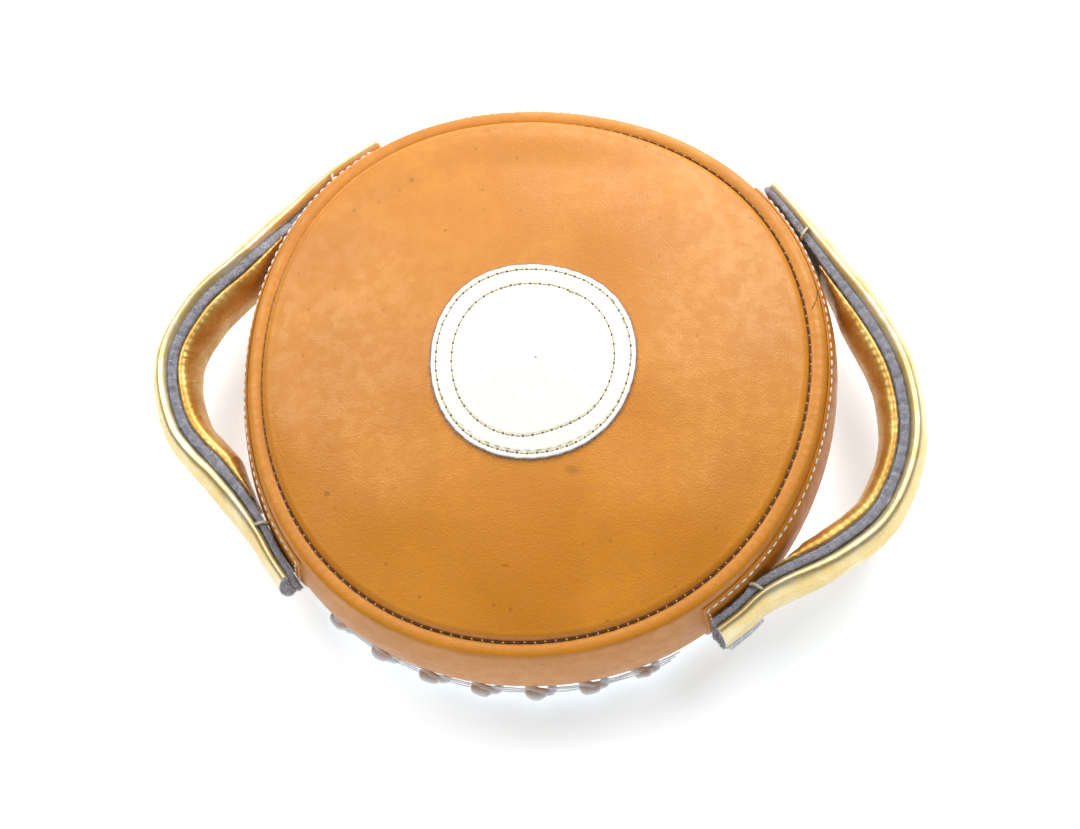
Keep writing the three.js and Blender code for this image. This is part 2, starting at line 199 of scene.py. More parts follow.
def spline(stops, count):
    """Evenly spaced points on a centripetal spline through the stops."""
    stops = np.array(stops, float)
    ends = np.vstack([2 * stops[0] - stops[1], stops, 2 * stops[-1] - stops[-2]])
    share = np.linspace(0, 1, 40, endpoint=False)[:, None]
    runs = []
    for a, b, c, d in zip(ends, ends[1:], ends[2:], ends[3:]):
        ab, bc, cd = (max(np.linalg.norm(q - p), 1e-6) ** 0.5 for p, q in ((a, b), (b, c), (c, d)))
        first = ((b - a) / ab - (c - a) / (ab + bc) + (c - b) / bc) * bc
        second = ((c - b) / bc - (d - b) / (bc + cd) + (d - c) / cd) * bc
        square = -3 * b + 3 * c - 2 * first - second
        runs.append(b + first * share + square * share**2 + (2 * b - 2 * c + first + second) * share**3)
    line = np.vstack([*runs, stops[-1:]])
    return evenly(line, count)


def evenly(line, count):
    """The same line with a number of evenly spaced points."""
    length = np.concatenate([[0], np.cumsum(np.linalg.norm(np.diff(line, axis=0), axis=1))])
    places = np.linspace(0, length[-1], count)
    return np.stack([np.interp(places, length, line[:, axis]) for axis in range(line.shape[1])], -1)


# Making meshes

FIBRE_LEAN = 0.9


def outward(points, faces):
    """The faces, turned round if they point into the solid."""
    triangles = [(f[0], f[i], f[i + 1]) for f in faces for i in range(1, len(f) - 1)]
    a, b, c = (points[np.array(triangles)[:, corner]] for corner in range(3))
    volume = np.einsum("ij,ij->i", a, np.cross(b, c)).sum()
    return faces if volume > 0 else [f[::-1] for f in faces]


def make_piece(name, points, faces, materials, index=None):
    """A smooth mesh object from points in millimetres, with faces that point outwards."""
    mesh = bpy.data.meshes.new(name)
    mesh.from_pydata((points * MM).tolist(), [], outward(points, faces))
    for material in materials:
        mesh.materials.append(material)
    mesh.polygons.foreach_set("use_smooth", [True] * len(mesh.polygons))
    if index is not None:
        mesh.polygons.foreach_set("material_index", index)
    piece = bpy.data.objects.new(name, mesh)
    bpy.context.scene.collection.objects.link(piece)
    return piece


def grid(rows, columns, close_rows=False):
    """Quads over vertices numbered row by row, with each row closed."""
    row, column = np.meshgrid(
        np.arange(rows if close_rows else rows - 1), np.arange(columns), indexing="ij"
    )
    above, right = (row + 1) % rows, (column + 1) % columns
    here, there = row * columns, above * columns
    corners = (here + column, here + right, there + right, there + column)
    return np.stack(corners, -1).reshape(-1, 4).tolist()


def fan(ring, centre):
    """Triangles from a ring of vertices to one vertex."""
    return [(ring[i], ring[(i + 1) % len(ring)], centre) for i in range(len(ring))]


def revolve(name, profile, steps, materials, relief):
    """Turns a closed profile of radius and height about the vertical axis, with a relief."""
    angle = np.linspace(0, 360, steps, endpoint=False)
    points = polar(angle[None, :], profile[:, :1], profile[:, 1:])
    points = hand_sewn(relief(points))
    return make_piece(name, points.reshape(-1, 3), grid(len(profile), steps, True), materials)


def revolve_solid(name, profile, steps, materials, relief):
    """Turns a profile that starts and ends on the axis, which it leaves out, about the axis."""
    angle = np.linspace(0, 360, steps, endpoint=False)
    points = polar(angle[None, :], profile[1:-1, :1], profile[1:-1, 1:])
    ends = np.array([[0, 0, profile[0, 1]], [0, 0, profile[-1, 1]]], float)
    points, ends = hand_sewn(relief(points)), relief(ends)
    rows = len(points)
    faces = grid(rows, steps)
    first = list(range(steps))[::-1]
    last = list(range((rows - 1) * steps, rows * steps))
    faces += fan(first, rows * steps) + fan(last, rows * steps + 1)
    return make_piece(name, np.vstack([points.reshape(-1, 3), ends]), faces, materials)


def sweep(name, rings, materials, end_round=0.35, end_share=0.86, ends_index=0):
    """Joins closed rings into a solid with rounded ends and a UV map in metres."""
    def lip(ring, inner):
        centre = ring.mean(0)
        away = centre - inner.mean(0)
        away *= end_round / max(np.linalg.norm(away), 1e-9)
        return centre + (ring - centre) * end_share + away

    rings = np.concatenate([[lip(rings[0], rings[1])], rings, [lip(rings[-1], rings[-2])]])
    rows, columns, _ = rings.shape
    ends = np.array([rings[0].mean(0), rings[-1].mean(0)])
    faces = grid(rows, columns)
    body = len(faces)
    first = list(range(columns))[::-1]
    last = list(range((rows - 1) * columns, rows * columns))
    faces += fan(first, rows * columns) + fan(last, rows * columns + 1)
    index = np.zeros(len(faces), int)
    index[:columns] = ends_index
    index[body - columns :] = ends_index
    piece = make_piece(name, np.vstack([rings.reshape(-1, 3), ends]), faces, materials, index)
    along = np.concatenate([[0], np.cumsum(np.linalg.norm(np.diff(rings.mean(1), axis=0), axis=1))])
    middle = rings[rows // 2]
    round_it = np.linalg.norm(np.roll(middle, -1, 0) - middle, axis=1)
    around = np.concatenate([[0], np.cumsum(round_it)])
    mesh = piece.data
    corner = np.zeros(len(mesh.loops), int)
    mesh.loops.foreach_get("vertex_index", corner)
    face = np.repeat(np.arange(len(mesh.polygons)), [len(p.vertices) for p in mesh.polygons])
    column = np.where(corner < rows * columns, corner % columns, 0)
    row = np.clip(corner // columns, 0, rows - 1)
    widest = np.zeros(len(mesh.polygons), int)
    np.maximum.at(widest, face, column)
    column = np.where((column == 0) & (widest[face] == columns - 1), columns, column)
    uv = np.stack([along[row], around[column]], -1) * MM
    mesh.uv_layers.new(name="UVMap").data.foreach_set("uv", uv.ravel())
    return piece


def tube(name, line, radius, material, sides=8):
    """A round thread along a line, with its radius given once or at each point."""
    line = np.array(line, float)
    along = np.gradient(line, axis=0)
    along /= np.linalg.norm(along, axis=1)[:, None]
    across = np.cross(along[0], [0.31, 0.52, 0.8])
    turn = np.linspace(0, 2 * math.pi, sides, endpoint=False)
    radius = np.broadcast_to(radius, len(line))
    rings = []
    for point, way, thick in zip(line, along, radius):
        across = across - way * across.dot(way)
        across /= np.linalg.norm(across)
        up = np.cross(way, across)
        ring = np.cos(turn)[:, None] * across + np.sin(turn)[:, None] * up
        rings.append(point + ring * thick)
    return sweep(name, np.array(rings), [material], end_round=0.4 * float(radius[0]), end_share=0.6)


def join(name, pieces):
    """Joins pieces into the first one and renames it."""
    with bpy.context.temp_override(
        active_object=pieces[0], selected_editable_objects=pieces, selected_objects=pieces
    ):
        bpy.ops.object.join()
    pieces[0].name = name
    return pieces[0]


def attach(piece, slot, *nodes):
    """Rides a finished piece on the pad and stands it in for CAD nodes. The finish name it is given is not
    used.
    """
    if nodes:
        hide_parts(*nodes)
    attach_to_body(piece, "root")
    return piece


# Geometry nodes

def add(tree, kind, inputs=None, **settings):
    """Adds a node to a tree. An input is a value or the socket that feeds it."""
    node = tree.nodes.new(kind)
    for key, value in settings.items():
        setattr(node, key, value)
    for key, value in (inputs or {}).items():
        if isinstance(value, bpy.types.NodeSocket):
            tree.links.new(value, node.inputs[key])
        else:
            node.inputs[key].default_value = value
    return node


def new_tree(name, kind, inputs, outputs):
    """A node group with named sockets, and its input and output nodes."""
    tree = bpy.data.node_groups.new(name, kind)
    for label, socket_type, value in inputs:
        socket = tree.interface.new_socket(name=label, in_out="INPUT", socket_type=socket_type)
        if value is not None:
            socket.default_value = value
    for label, socket_type in outputs:
        tree.interface.new_socket(name=label, in_out="OUTPUT", socket_type=socket_type)
    return tree, tree.nodes.new("NodeGroupInput"), tree.nodes.new("NodeGroupOutput")


def stitch_row_tree():
    """Lays thread stitches along a path, each a little out of line."""
    tree, given, result = new_tree(
        "stitch_row",
        "GeometryNodeTree",
        [
            ("Path", "NodeSocketGeometry", None),
            ("Spacing", "NodeSocketFloat", 0.006),
            ("Stitch Length", "NodeSocketFloat", 0.0045),
            ("Thread Radius", "NodeSocketFloat", 0.0005),
            ("Waver", "NodeSocketFloat", 0.0001),
            ("Seed", "NodeSocketInt", 1),
            ("Thread", "NodeSocketMaterial", None),
        ],
        [("Stitches", "NodeSocketGeometry")],
    )
    even = add(
        tree,
        "GeometryNodeResampleCurve",
        {"Curve": given.outputs["Path"], "Length": given.outputs["Spacing"]},
        mode="LENGTH",
    )
    back = add(tree, "ShaderNodeMath", {0: given.outputs["Waver"], 1: -1.0}, operation="MULTIPLY")
    stray = add(
        tree,
        "FunctionNodeRandomValue",
        {0: back.outputs[0], 1: given.outputs["Waver"], "Seed": given.outputs["Seed"]},
        data_type="FLOAT_VECTOR",
    )
    placed = add(
        tree,
        "GeometryNodeSetPosition",
        {"Geometry": even.outputs[0], "Offset": stray.outputs["Value"]},
    )
    bead = add(tree, "GeometryNodeMeshUVSphere", {"Segments": 6, "Rings": 6, "Radius": 1.0})
    half = add(tree, "ShaderNodeMath", {0: given.outputs["Stitch Length"], 1: 0.5}, operation="MULTIPLY")
    size = add(
        tree,
        "ShaderNodeCombineXYZ",
        {0: given.outputs["Thread Radius"], 1: given.outputs["Thread Radius"], 2: half.outputs[0]},
    )
    tangent = add(tree, "GeometryNodeInputTangent")
    turned = add(tree, "FunctionNodeAlignRotationToVector", {"Vector": tangent.outputs[0]}, axis="Z")
    laid = add(
        tree,
        "GeometryNodeInstanceOnPoints",
        {
            "Points": placed.outputs[0],
            "Instance": bead.outputs[0],
            "Rotation": turned.outputs[0],
            "Scale": size.outputs[0],
        },
    )
    solid = add(tree, "GeometryNodeRealizeInstances", {0: laid.outputs[0]})
    smooth = add(tree, "GeometryNodeSetShadeSmooth", {0: solid.outputs[0]})
    dyed = add(
        tree,
        "GeometryNodeSetMaterial",
        {"Geometry": smooth.outputs[0], "Material": given.outputs["Thread"]},
    )
    tree.links.new(dyed.outputs[0], result.inputs["Stitches"])
    return tree


def raw_fibre_tree():
    """Stands short loose fibres on the raw faces of a leather piece."""
    tree, given, result = new_tree(
        "raw_fibres",
        "GeometryNodeTree",
        [
            ("Leather", "NodeSocketGeometry", None),
            ("Density", "NodeSocketFloat", 900000.0),
            ("Fibre Length", "NodeSocketFloat", 0.0012),
            ("Fibre Radius", "NodeSocketFloat", 0.00012),
            ("Lean", "NodeSocketFloat", FIBRE_LEAN),
            ("Seed", "NodeSocketInt", 1),
            ("Fibre", "NodeSocketMaterial", None),
        ],
        [("Leather", "NodeSocketGeometry")],
    )
    raw = add(tree, "GeometryNodeInputNamedAttribute", {"Name": "raw"}, data_type="FLOAT")
    amount = add(
        tree,
        "ShaderNodeMath",
        {0: raw.outputs["Attribute"], 1: given.outputs["Density"]},
        operation="MULTIPLY",
    )
    strewn = add(
        tree,
        "GeometryNodeDistributePointsOnFaces",
        {"Mesh": given.outputs["Leather"], "Density": amount.outputs[0], "Seed": given.outputs["Seed"]},
    )
    fibre = add(
        tree,
        "GeometryNodeMeshCone",
        {"Vertices": 3, "Radius Top": 0.25, "Radius Bottom": 1.0, "Depth": 1.0},
    )
    back = add(tree, "ShaderNodeMath", {0: given.outputs["Lean"], 1: -1.0}, operation="MULTIPLY")
    lean = add(
        tree,
        "FunctionNodeRandomValue",
        {0: back.outputs[0], 1: given.outputs["Lean"], "Seed": given.outputs["Seed"]},
        data_type="FLOAT_VECTOR",
    )
    tilt = add(
        tree,
        "FunctionNodeRotateRotation",
        {0: strewn.outputs["Rotation"], 1: lean.outputs["Value"]},
        rotation_space="LOCAL",
    )
    size = add(
        tree,
        "ShaderNodeCombineXYZ",
        {
            0: given.outputs["Fibre Radius"],
            1: given.outputs["Fibre Radius"],
            2: given.outputs["Fibre Length"],
        },
    )
    stood = add(
        tree,
        "GeometryNodeInstanceOnPoints",
        {
            "Points": strewn.outputs["Points"],
            "Instance": fibre.outputs[0],
            "Rotation": tilt.outputs[0],
            "Scale": size.outputs[0],
        },
    )
    solid = add(tree, "GeometryNodeRealizeInstances", {0: stood.outputs[0]})
    dyed = add(
        tree,
        "GeometryNodeSetMaterial",
        {"Geometry": solid.outputs[0], "Material": given.outputs["Fibre"]},
    )
    both = add(tree, "GeometryNodeJoinGeometry", {0: given.outputs["Leather"]})
    tree.links.new(dyed.outputs[0], both.inputs[0])
    tree.links.new(both.outputs[0], result.inputs["Leather"])
    return tree


def run_nodes(source, tree, name, values):
    """Gives an object a node modifier, makes its result a plain mesh and removes the source."""
    modifier = source.modifiers.new(tree.name, "NODES")
    modifier.node_group = tree
    for item in tree.interface.items_tree:
        if item.in_out == "INPUT" and item.name in values:
            modifier[item.identifier] = values[item.name]
    evaluated = source.evaluated_get(bpy.context.evaluated_depsgraph_get())
    mesh = bpy.data.meshes.new_from_object(evaluated)
    mesh.name = name
    bpy.data.objects.remove(source)
    piece = bpy.data.objects.new(name, mesh)
    bpy.context.scene.collection.objects.link(piece)
    return piece


def stitch_row(name, line, thread, spacing, length, radius, closed=False, waver=0.12, seed=1):
    """A row of stitches along a line in millimetres."""
    curve = bpy.data.curves.new(name + "_path", "CURVE")
    curve.dimensions = "3D"
    path = curve.splines.new("POLY")
    path.points.add(len(line) - 1)
    path.points.foreach_set("co", np.column_stack([line * MM, np.ones(len(line))]).ravel())
    path.use_cyclic_u = closed
    source = bpy.data.objects.new(name + "_path", curve)
    bpy.context.scene.collection.objects.link(source)
    values = {
        "Spacing": spacing * MM,
        "Stitch Length": length * MM,
        "Thread Radius": radius * MM,
        "Waver": waver * MM,
        "Seed": seed,
        "Thread": thread,
    }
    return run_nodes(source, bpy.data.node_groups["stitch_row"], name, values)


def fray(piece, raw, fibre, density, length, radius=0.11, seed=1):
    """Frays a piece where raw, one number for each vertex, is above 0."""
    name = piece.name
    piece.name = name + "_smooth"
    share = piece.data.attributes.new("raw", "FLOAT", "POINT")
    share.data.foreach_set("value", np.asarray(raw, np.float32))
    values = {
        "Density": density * 1e6,
        "Fibre Length": length * MM,
        "Fibre Radius": radius * MM,
        "Lean": FIBRE_LEAN,
        "Seed": seed,
        "Fibre": fibre,
    }
    return run_nodes(piece, bpy.data.node_groups["raw_fibres"], name, values)


# Finishes

def grain_tree():
    """The pebbled grain of tanned leather: cells with fine pores between them."""
    tree, given, result = new_tree(
        "leather_grain",
        "ShaderNodeTree",
        [("Vector", "NodeSocketVector", None), ("Cells", "NodeSocketFloat", 600.0)],
        [("Height", "NodeSocketFloat")],
    )
    cells = add(
        tree,
        "ShaderNodeTexVoronoi",
        {"Vector": given.outputs["Vector"], "Scale": given.outputs["Cells"]},
        feature="F1",
    )
    pores = add(
        tree,
        "ShaderNodeTexNoise",
        {"Vector": given.outputs["Vector"], "Scale": given.outputs["Cells"], "Detail": 3.0},
    )
    both = add(tree, "ShaderNodeMath", {0: cells.outputs["Distance"], 1: pores.outputs[0]}, operation="ADD")
    tree.links.new(both.outputs[0], result.inputs["Height"])
    return tree


def mottle_tree():
    """Uneven dye: broad clouds, small blotches and sparse dark specks, each from 0 to 1."""
    tree, given, result = new_tree(
        "dye_mottle",
        "ShaderNodeTree",
        [
            ("Vector", "NodeSocketVector", None),
            ("Cloud Scale", "NodeSocketFloat", 14.0),
            ("Blotch Scale", "NodeSocketFloat", 110.0),
            ("Speck Scale", "NodeSocketFloat", 60.0),
        ],
        [("Cloud", "NodeSocketFloat"), ("Blotch", "NodeSocketFloat"), ("Speck", "NodeSocketFloat")],
    )
    vector = given.outputs["Vector"]
    cloud = add(
        tree,
        "ShaderNodeTexNoise",
        {"Vector": vector, "Scale": given.outputs["Cloud Scale"], "Detail": 3.0, "Distortion": 0.4},
    )
    blotch = add(
        tree,
        "ShaderNodeTexNoise",
        {"Vector": vector, "Scale": given.outputs["Blotch Scale"], "Detail": 5.0, "Roughness": 0.6},
    )
    spots = add(tree, "ShaderNodeTexVoronoi", {"Vector": vector, "Scale": given.outputs["Speck Scale"]})
    for source, label, low, high in (
        (cloud.outputs[0], "Cloud", 0.3, 0.7),
        (blotch.outputs[0], "Blotch", 0.35, 0.65),
        (spots.outputs["Distance"], "Speck", 0.11, 0.03),
    ):
        spread = add(
            tree,
            "ShaderNodeMapRange",
            {"Value": source, "From Min": low, "From Max": high},
            interpolation_type="SMOOTHSTEP",
        )
        tree.links.new(spread.outputs[0], result.inputs[label])
    return tree


def mark_tree():
    """One soft-edged mark at a place, from 0 outside it to 1 in its middle."""
    tree, given, result = new_tree(
        "rub_mark",
        "ShaderNodeTree",
        [
            ("Vector", "NodeSocketVector", None),
            ("Place", "NodeSocketVector", None),
            ("Size", "NodeSocketVector", None),
            ("Raggedness", "NodeSocketFloat", 0.6),
        ],
        [("Mask", "NodeSocketFloat")],
    )
    away = add(
        tree,
        "ShaderNodeVectorMath",
        {0: given.outputs["Vector"], 1: given.outputs["Place"]},
        operation="SUBTRACT",
    )
    scaled = add(
        tree,
        "ShaderNodeVectorMath",
        {0: away.outputs[0], 1: given.outputs["Size"]},
        operation="DIVIDE",
    )
    distance = add(tree, "ShaderNodeVectorMath", {0: scaled.outputs[0]}, operation="LENGTH")
    ragged = add(
        tree,
        "ShaderNodeTexNoise",
        {"Vector": given.outputs["Vector"], "Scale": 420.0, "Detail": 4.0},
    )
    torn = add(
        tree,
        "ShaderNodeMath",
        {0: ragged.outputs[0], 1: given.outputs["Raggedness"], 2: distance.outputs["Value"]},
        operation="MULTIPLY_ADD",
    )
    soft = add(
        tree,
        "ShaderNodeMapRange",
        {"Value": torn.outputs[0], "From Min": 1.1, "From Max": 0.35},
        interpolation_type="SMOOTHSTEP",
    )
    tree.links.new(soft.outputs[0], result.inputs["Mask"])
    return tree


def group(tree, name, inputs):
    """Places a node group in a tree with its own values."""
    return add(tree, "ShaderNodeGroup", inputs, node_tree=bpy.data.node_groups[name])


def blend(tree, factor, first, second):
    """A colour between two, each a colour or a socket."""
    return add(tree, "ShaderNodeMix", {0: factor, 6: first, 7: second}, data_type="RGBA").outputs[2]


def level(tree, value, low, high, to_low, to_high):
    """Maps a value from one range to another, smoothly and kept within it."""
    node = add(
        tree,
        "ShaderNodeMapRange",
        {0: value, 1: low, 2: high, 3: to_low, 4: to_high},
        interpolation_type="SMOOTHSTEP",
    )
    return node.outputs[0]


def bump(tree, height, distance, strength=1.0, under=None):
    """A normal from a height in metres times distance."""
    inputs = {"Height": height, "Distance": distance, "Strength": strength}
    if under is not None:
        inputs["Normal"] = under
    return add(tree, "ShaderNodeBump", inputs).outputs[0]


def new_material(name, **constants):
    """A material with its Principled shader, whose own sockets get the constants."""
    material = bpy.data.materials.new(name)
    material.use_nodes = True
    tree = material.node_tree
    shader = tree.nodes["Principled BSDF"]
    for key, value in constants.items():
        shader.inputs[key.replace("_", " ")].default_value = value
    return material, tree, shader


def rgba(colour, share=1.0):
    """A colour setting as four numbers, darkened or lightened by a share."""
    return (*(min(1.0, channel * share) for channel in colour), 1.0)


def tan_leather(name, colours, marks=(), cloud=14.0, seed=(0.0, 0.0, 0.0)):
    """Vegetable-tanned leather with uneven dye, fine grain, specks and given rub marks."""
    material, tree, shader = new_material(name, Coat_Weight=0.2, Coat_Roughness=0.42)
    place = add(tree, "ShaderNodeTexCoord").outputs["Object"]
    shifted = add(tree, "ShaderNodeMapping", {"Vector": place, "Location": seed}).outputs[0]
    dye = group(tree, "dye_mottle", {"Vector": shifted, "Cloud Scale": cloud})
    colour = blend(
        tree,
        level(tree, dye.outputs["Cloud"], 0, 1, 0.1, 0.7),
        rgba(colours.tan),
        rgba(colours.deep_tan),
    )
    colour = blend(tree, level(tree, dye.outputs["Blotch"], 0, 1, 0, 0.4), colour, rgba(colours.deep_tan))
    speck = level(tree, dye.outputs["Speck"], 0, 1, 0, 0.35)
    colour = blend(tree, speck, colour, rgba(colours.deep_tan, 0.4))
    for spot, size, depth in marks:
        mask = group(tree, "rub_mark", {"Vector": place, "Place": spot, "Size": size})
        rubbed = level(tree, mask.outputs[0], 0, 1, 0, depth)
        colour = blend(tree, rubbed, colour, rgba(colours.deep_tan, 0.32))
    tree.links.new(colour, shader.inputs["Base Color"])
    tree.links.new(level(tree, dye.outputs["Blotch"], 0, 1, 0.38, 0.5), shader.inputs["Roughness"])
    grain = group(tree, "leather_grain", {"Vector": shifted, "Cells": 900.0})
    coarse = add(tree, "ShaderNodeTexNoise", {"Vector": shifted, "Scale": 260.0, "Detail": 3.0})
    low = bump(tree, coarse.outputs[0], 0.00016)
    tree.links.new(bump(tree, grain.outputs["Height"], 0.00012, under=low), shader.inputs["Normal"])
    return material


def foil_leather(name, light, deep, metal, rough, cracks, specks=0.2):
    """Metallic foil leather on the piece's own UV map, with fine cracks and rubbed specks."""
    material, tree, shader = new_material(name, Coat_Weight=0.1, Coat_Roughness=0.25)
    flat = add(tree, "ShaderNodeUVMap", uv_map="UVMap").outputs[0]
    dye = group(
        tree,
        "dye_mottle",
        {"Vector": flat, "Cloud Scale": 40.0, "Blotch Scale": 500.0, "Speck Scale": 260.0},
    )
    colour = blend(tree, level(tree, dye.outputs["Cloud"], 0, 1, 0.1, 0.8), rgba(light), rgba(deep))
    colour = blend(tree, level(tree, dye.outputs["Blotch"], 0, 1, 0, specks), colour, rgba(deep, 0.6))
    lines = add(
        tree,
        "ShaderNodeTexVoronoi",
        {"Vector": flat, "Scale": 150.0},
        feature="DISTANCE_TO_EDGE",
    )
    region = add(tree, "ShaderNodeTexNoise", {"Vector": flat, "Scale": 55.0, "Detail": 2.0})
    sparse = level(tree, region.outputs[0], 0.52, 0.62, 0, cracks)
    near = level(tree, lines.outputs["Distance"], 0.05, 0.0, 0, 1)
    crack = add(tree, "ShaderNodeMath", {0: sparse, 1: near}, operation="MULTIPLY").outputs[0]
    colour = blend(tree, crack, colour, rgba(deep, 0.3))
    tree.links.new(colour, shader.inputs["Base Color"])
    tree.links.new(level(tree, dye.outputs["Speck"], 0, 1, metal, metal * 0.6), shader.inputs["Metallic"])
    tree.links.new(level(tree, dye.outputs["Blotch"], 0, 1, rough, rough + 0.12), shader.inputs["Roughness"])
    grain = group(tree, "leather_grain", {"Vector": flat, "Cells": 900.0})
    soft = bump(tree, region.outputs[0], 0.0003)
    fine = bump(tree, grain.outputs["Height"], 0.00003, under=soft)
    tree.links.new(bump(tree, near, -0.0001, cracks, under=fine), shader.inputs["Normal"])
    return material


def sheet_leather(name, light, deep, metal, rough, dimples=0.00009, glow=0.0):
    """Metallic foil leather for flat panels, on the pad's own coordinates. A glow above 0 is painted light:
    the panel shines as if lit by light bounced up from the pale floor.
    """
    material, tree, shader = new_material(
        name, Coat_Weight=0.1, Coat_Roughness=0.3, Emission_Color=rgba(light), Emission_Strength=glow
    )
    place = add(tree, "ShaderNodeTexCoord").outputs["Object"]
    dye = group(
        tree,
        "dye_mottle",
        {"Vector": place, "Cloud Scale": 30.0, "Blotch Scale": 300.0, "Speck Scale": 150.0},
    )
    colour = blend(tree, level(tree, dye.outputs["Cloud"], 0, 1, 0, 0.6), rgba(light), rgba(deep))
    colour = blend(tree, level(tree, dye.outputs["Speck"], 0, 1, 0, 0.3), colour, rgba(deep, 0.6))
    tree.links.new(colour, shader.inputs["Base Color"])
    tree.links.new(level(tree, dye.outputs["Blotch"], 0, 1, metal, metal * 0.8), shader.inputs["Metallic"])
    tree.links.new(level(tree, dye.outputs["Blotch"], 0, 1, rough, rough + 0.1), shader.inputs["Roughness"])
    grain = group(tree, "leather_grain", {"Vector": place, "Cells": 800.0})
    tree.links.new(bump(tree, grain.outputs["Height"], dimples), shader.inputs["Normal"])
    return material


def raw_leather(name, light, dark):
    """The rough, fibrous flesh side and cut edge of leather."""
    material, tree, shader = new_material(name, Sheen_Weight=0.4, Sheen_Roughness=0.6)
    place = add(tree, "ShaderNodeTexCoord").outputs["Object"]
    dye = group(
        tree,
        "dye_mottle",
        {"Vector": place, "Cloud Scale": 220.0, "Blotch Scale": 900.0, "Speck Scale": 400.0},
    )
    colour = blend(tree, dye.outputs["Cloud"], rgba(light), rgba(dark))
    colour = blend(tree, level(tree, dye.outputs["Blotch"], 0, 1, 0, 0.7), colour, rgba(dark))
    tree.links.new(colour, shader.inputs["Base Color"])
    tree.links.new(level(tree, dye.outputs["Blotch"], 0, 1, 0.85, 1.0), shader.inputs["Roughness"])
    grain = group(tree, "leather_grain", {"Vector": place, "Cells": 1500.0})
    tree.links.new(bump(tree, grain.outputs["Height"], 0.0005), shader.inputs["Normal"])
    return material


def thread(name, colour, rough=0.7, ply=2200.0, glow=0.0):
    """Twisted thread or lace, with its plies as a fine slanting relief and painted shade in the grooves
    between them. A glow above 0 is painted light.
    """
    material, tree, shader = new_material(
        name, Sheen_Weight=0.2, Emission_Color=rgba(colour), Emission_Strength=glow
    )
    place = add(tree, "ShaderNodeTexCoord").outputs["Object"]
    plies = add(
        tree,
        "ShaderNodeTexWave",
        {"Vector": place, "Scale": ply / 20, "Distortion": 3.0, "Detail": 2.0},
        bands_direction="DIAGONAL",
    )
    # Painted shade in the grooves between the plies.
    shade = level(tree, plies.outputs["Fac"], 0, 1, 0, 0.45)
    tree.links.new(blend(tree, shade, rgba(colour), rgba(colour, 0.72)), shader.inputs["Base Color"])
    tree.links.new(level(tree, plies.outputs["Fac"], 0, 1, rough, rough + 0.15), shader.inputs["Roughness"])
    tree.links.new(bump(tree, plies.outputs["Fac"], -0.0003), shader.inputs["Normal"])
    return material


FLOOR_GLOW_STRENGTH = 0.5


def floor_paper(name, colour, glow):
    """Smooth pale paper, lit from below as well."""
    material, tree, shader = new_material(
        name,
        Roughness=0.9,
        Specular_IOR_Level=0.1,
        Emission_Color=rgba(glow),
        Emission_Strength=FLOOR_GLOW_STRENGTH,
    )
    place = add(tree, "ShaderNodeTexCoord").outputs["Object"]
    tooth = add(tree, "ShaderNodeTexNoise", {"Vector": place, "Scale": 500.0, "Detail": 2.0})
    tree.links.new(
        blend(tree, level(tree, tooth.outputs[0], 0.3, 0.7, 0, 1), rgba(colour), rgba(colour, 0.99)),
        shader.inputs["Base Color"],
    )
    return material


def make_finishes(colours):
    """Builds the node groups and every material."""
    grain_tree()
    mottle_tree()
    mark_tree()
    stitch_row_tree()
    raw_fibre_tree()
    tan_leather("tan_face", colours, marks=FACE_MARKS)
    tan_leather("tan_wall", colours, seed=(0.3, 0.1, 0.2))
    tan_leather("tan_patch", colours, cloud=20.0, seed=(0.7, 0.4, 0.1))
    foil_leather("gold_strap", colours.gold, colours.deep_gold, 0.8, 0.36, cracks=0.2, specks=0.06)
    # The grips are the straps' gold leather, painted deeper and browner: painted shade on their inner side
    # and painted reflection of the tan wall.
    foil_leather("gold_grip", colours.deep_gold, colours.grip_shade_gold, 0.7, 0.36, cracks=0.12)
    sheet_leather("pale_gold", colours.pale_gold, rgba(colours.pale_gold, 0.96)[:3], 0.2, 0.4)
    # The silver glows a little: painted light on the back, the far patch and the plies, for light bounced up
    # from the pale floor.
    sheet_leather("silver", colours.silver, rgba(colours.silver, 0.85)[:3], 0.15, 0.4, glow=0.14)
    raw_leather("raw_edge", colours.raw, rgba(colours.raw, 0.62)[:3])
    raw_leather("raw_pale", rgba(colours.raw, 1.7)[:3], colours.raw)
    # The white thread glows a little: painted light, for light bounced up from the pale floor.
    thread("white_thread", colours.white, glow=0.1)
    thread("gold_thread", colours.thread_gold)
    thread("beige_thread", colours.thread_beige)
    thread("brown_thread", colours.thread_brown)
    # The imported model already holds a plain material named white_lace. The glow of this one is painted
    # light on the lace, which sits in shade under the band.
    thread("white_lace", colours.white, 0.75, 1500.0, glow=0.55)
    # The needle hole dark is painted shade: dark beads in the holes of the target's stitching and along the
    # far patch's crease, and a short dark mark in the target's middle.
    thread("dark_hole", colours.hole, 0.9)
    floor_paper("floor_paper", colours.floor, colours.floor_glow)


def finish(name):
    """A material by name."""
    return bpy.data.materials[name]


# The face and the target

face_swell = swells(11, 14, 46, 120)
wall_swell = swells(23, 12, 40, 110)
FACE_MARKS = (
    ((-0.1112, -0.0961, 0.0924), (0.0045, 0.003, 0.05), 0.5),
    ((0.0042, -0.1274, 0.0959), (0.005, 0.0011, 0.05), 0.5),
    ((-0.0929, 0.1144, 0.0924), (0.0035, 0.0035, 0.05), 0.45),
    ((0.0358, -0.0660, 0.1021), (0.010, 0.006, 0.05), 0.35),
    ((-0.1264, 0.0898, 0.0908), (0.0028, 0.0028, 0.05), 0.4),
    ((-0.0951, 0.0226, 0.1000), (0.0024, 0.0024, 0.05), 0.35),
    ((-0.0277, 0.1366, 0.0939), (0.0026, 0.0026, 0.05), 0.4),
    ((-0.0552, 0.1405, 0.0916), (0.0026, 0.0026, 0.05), 0.4),
)


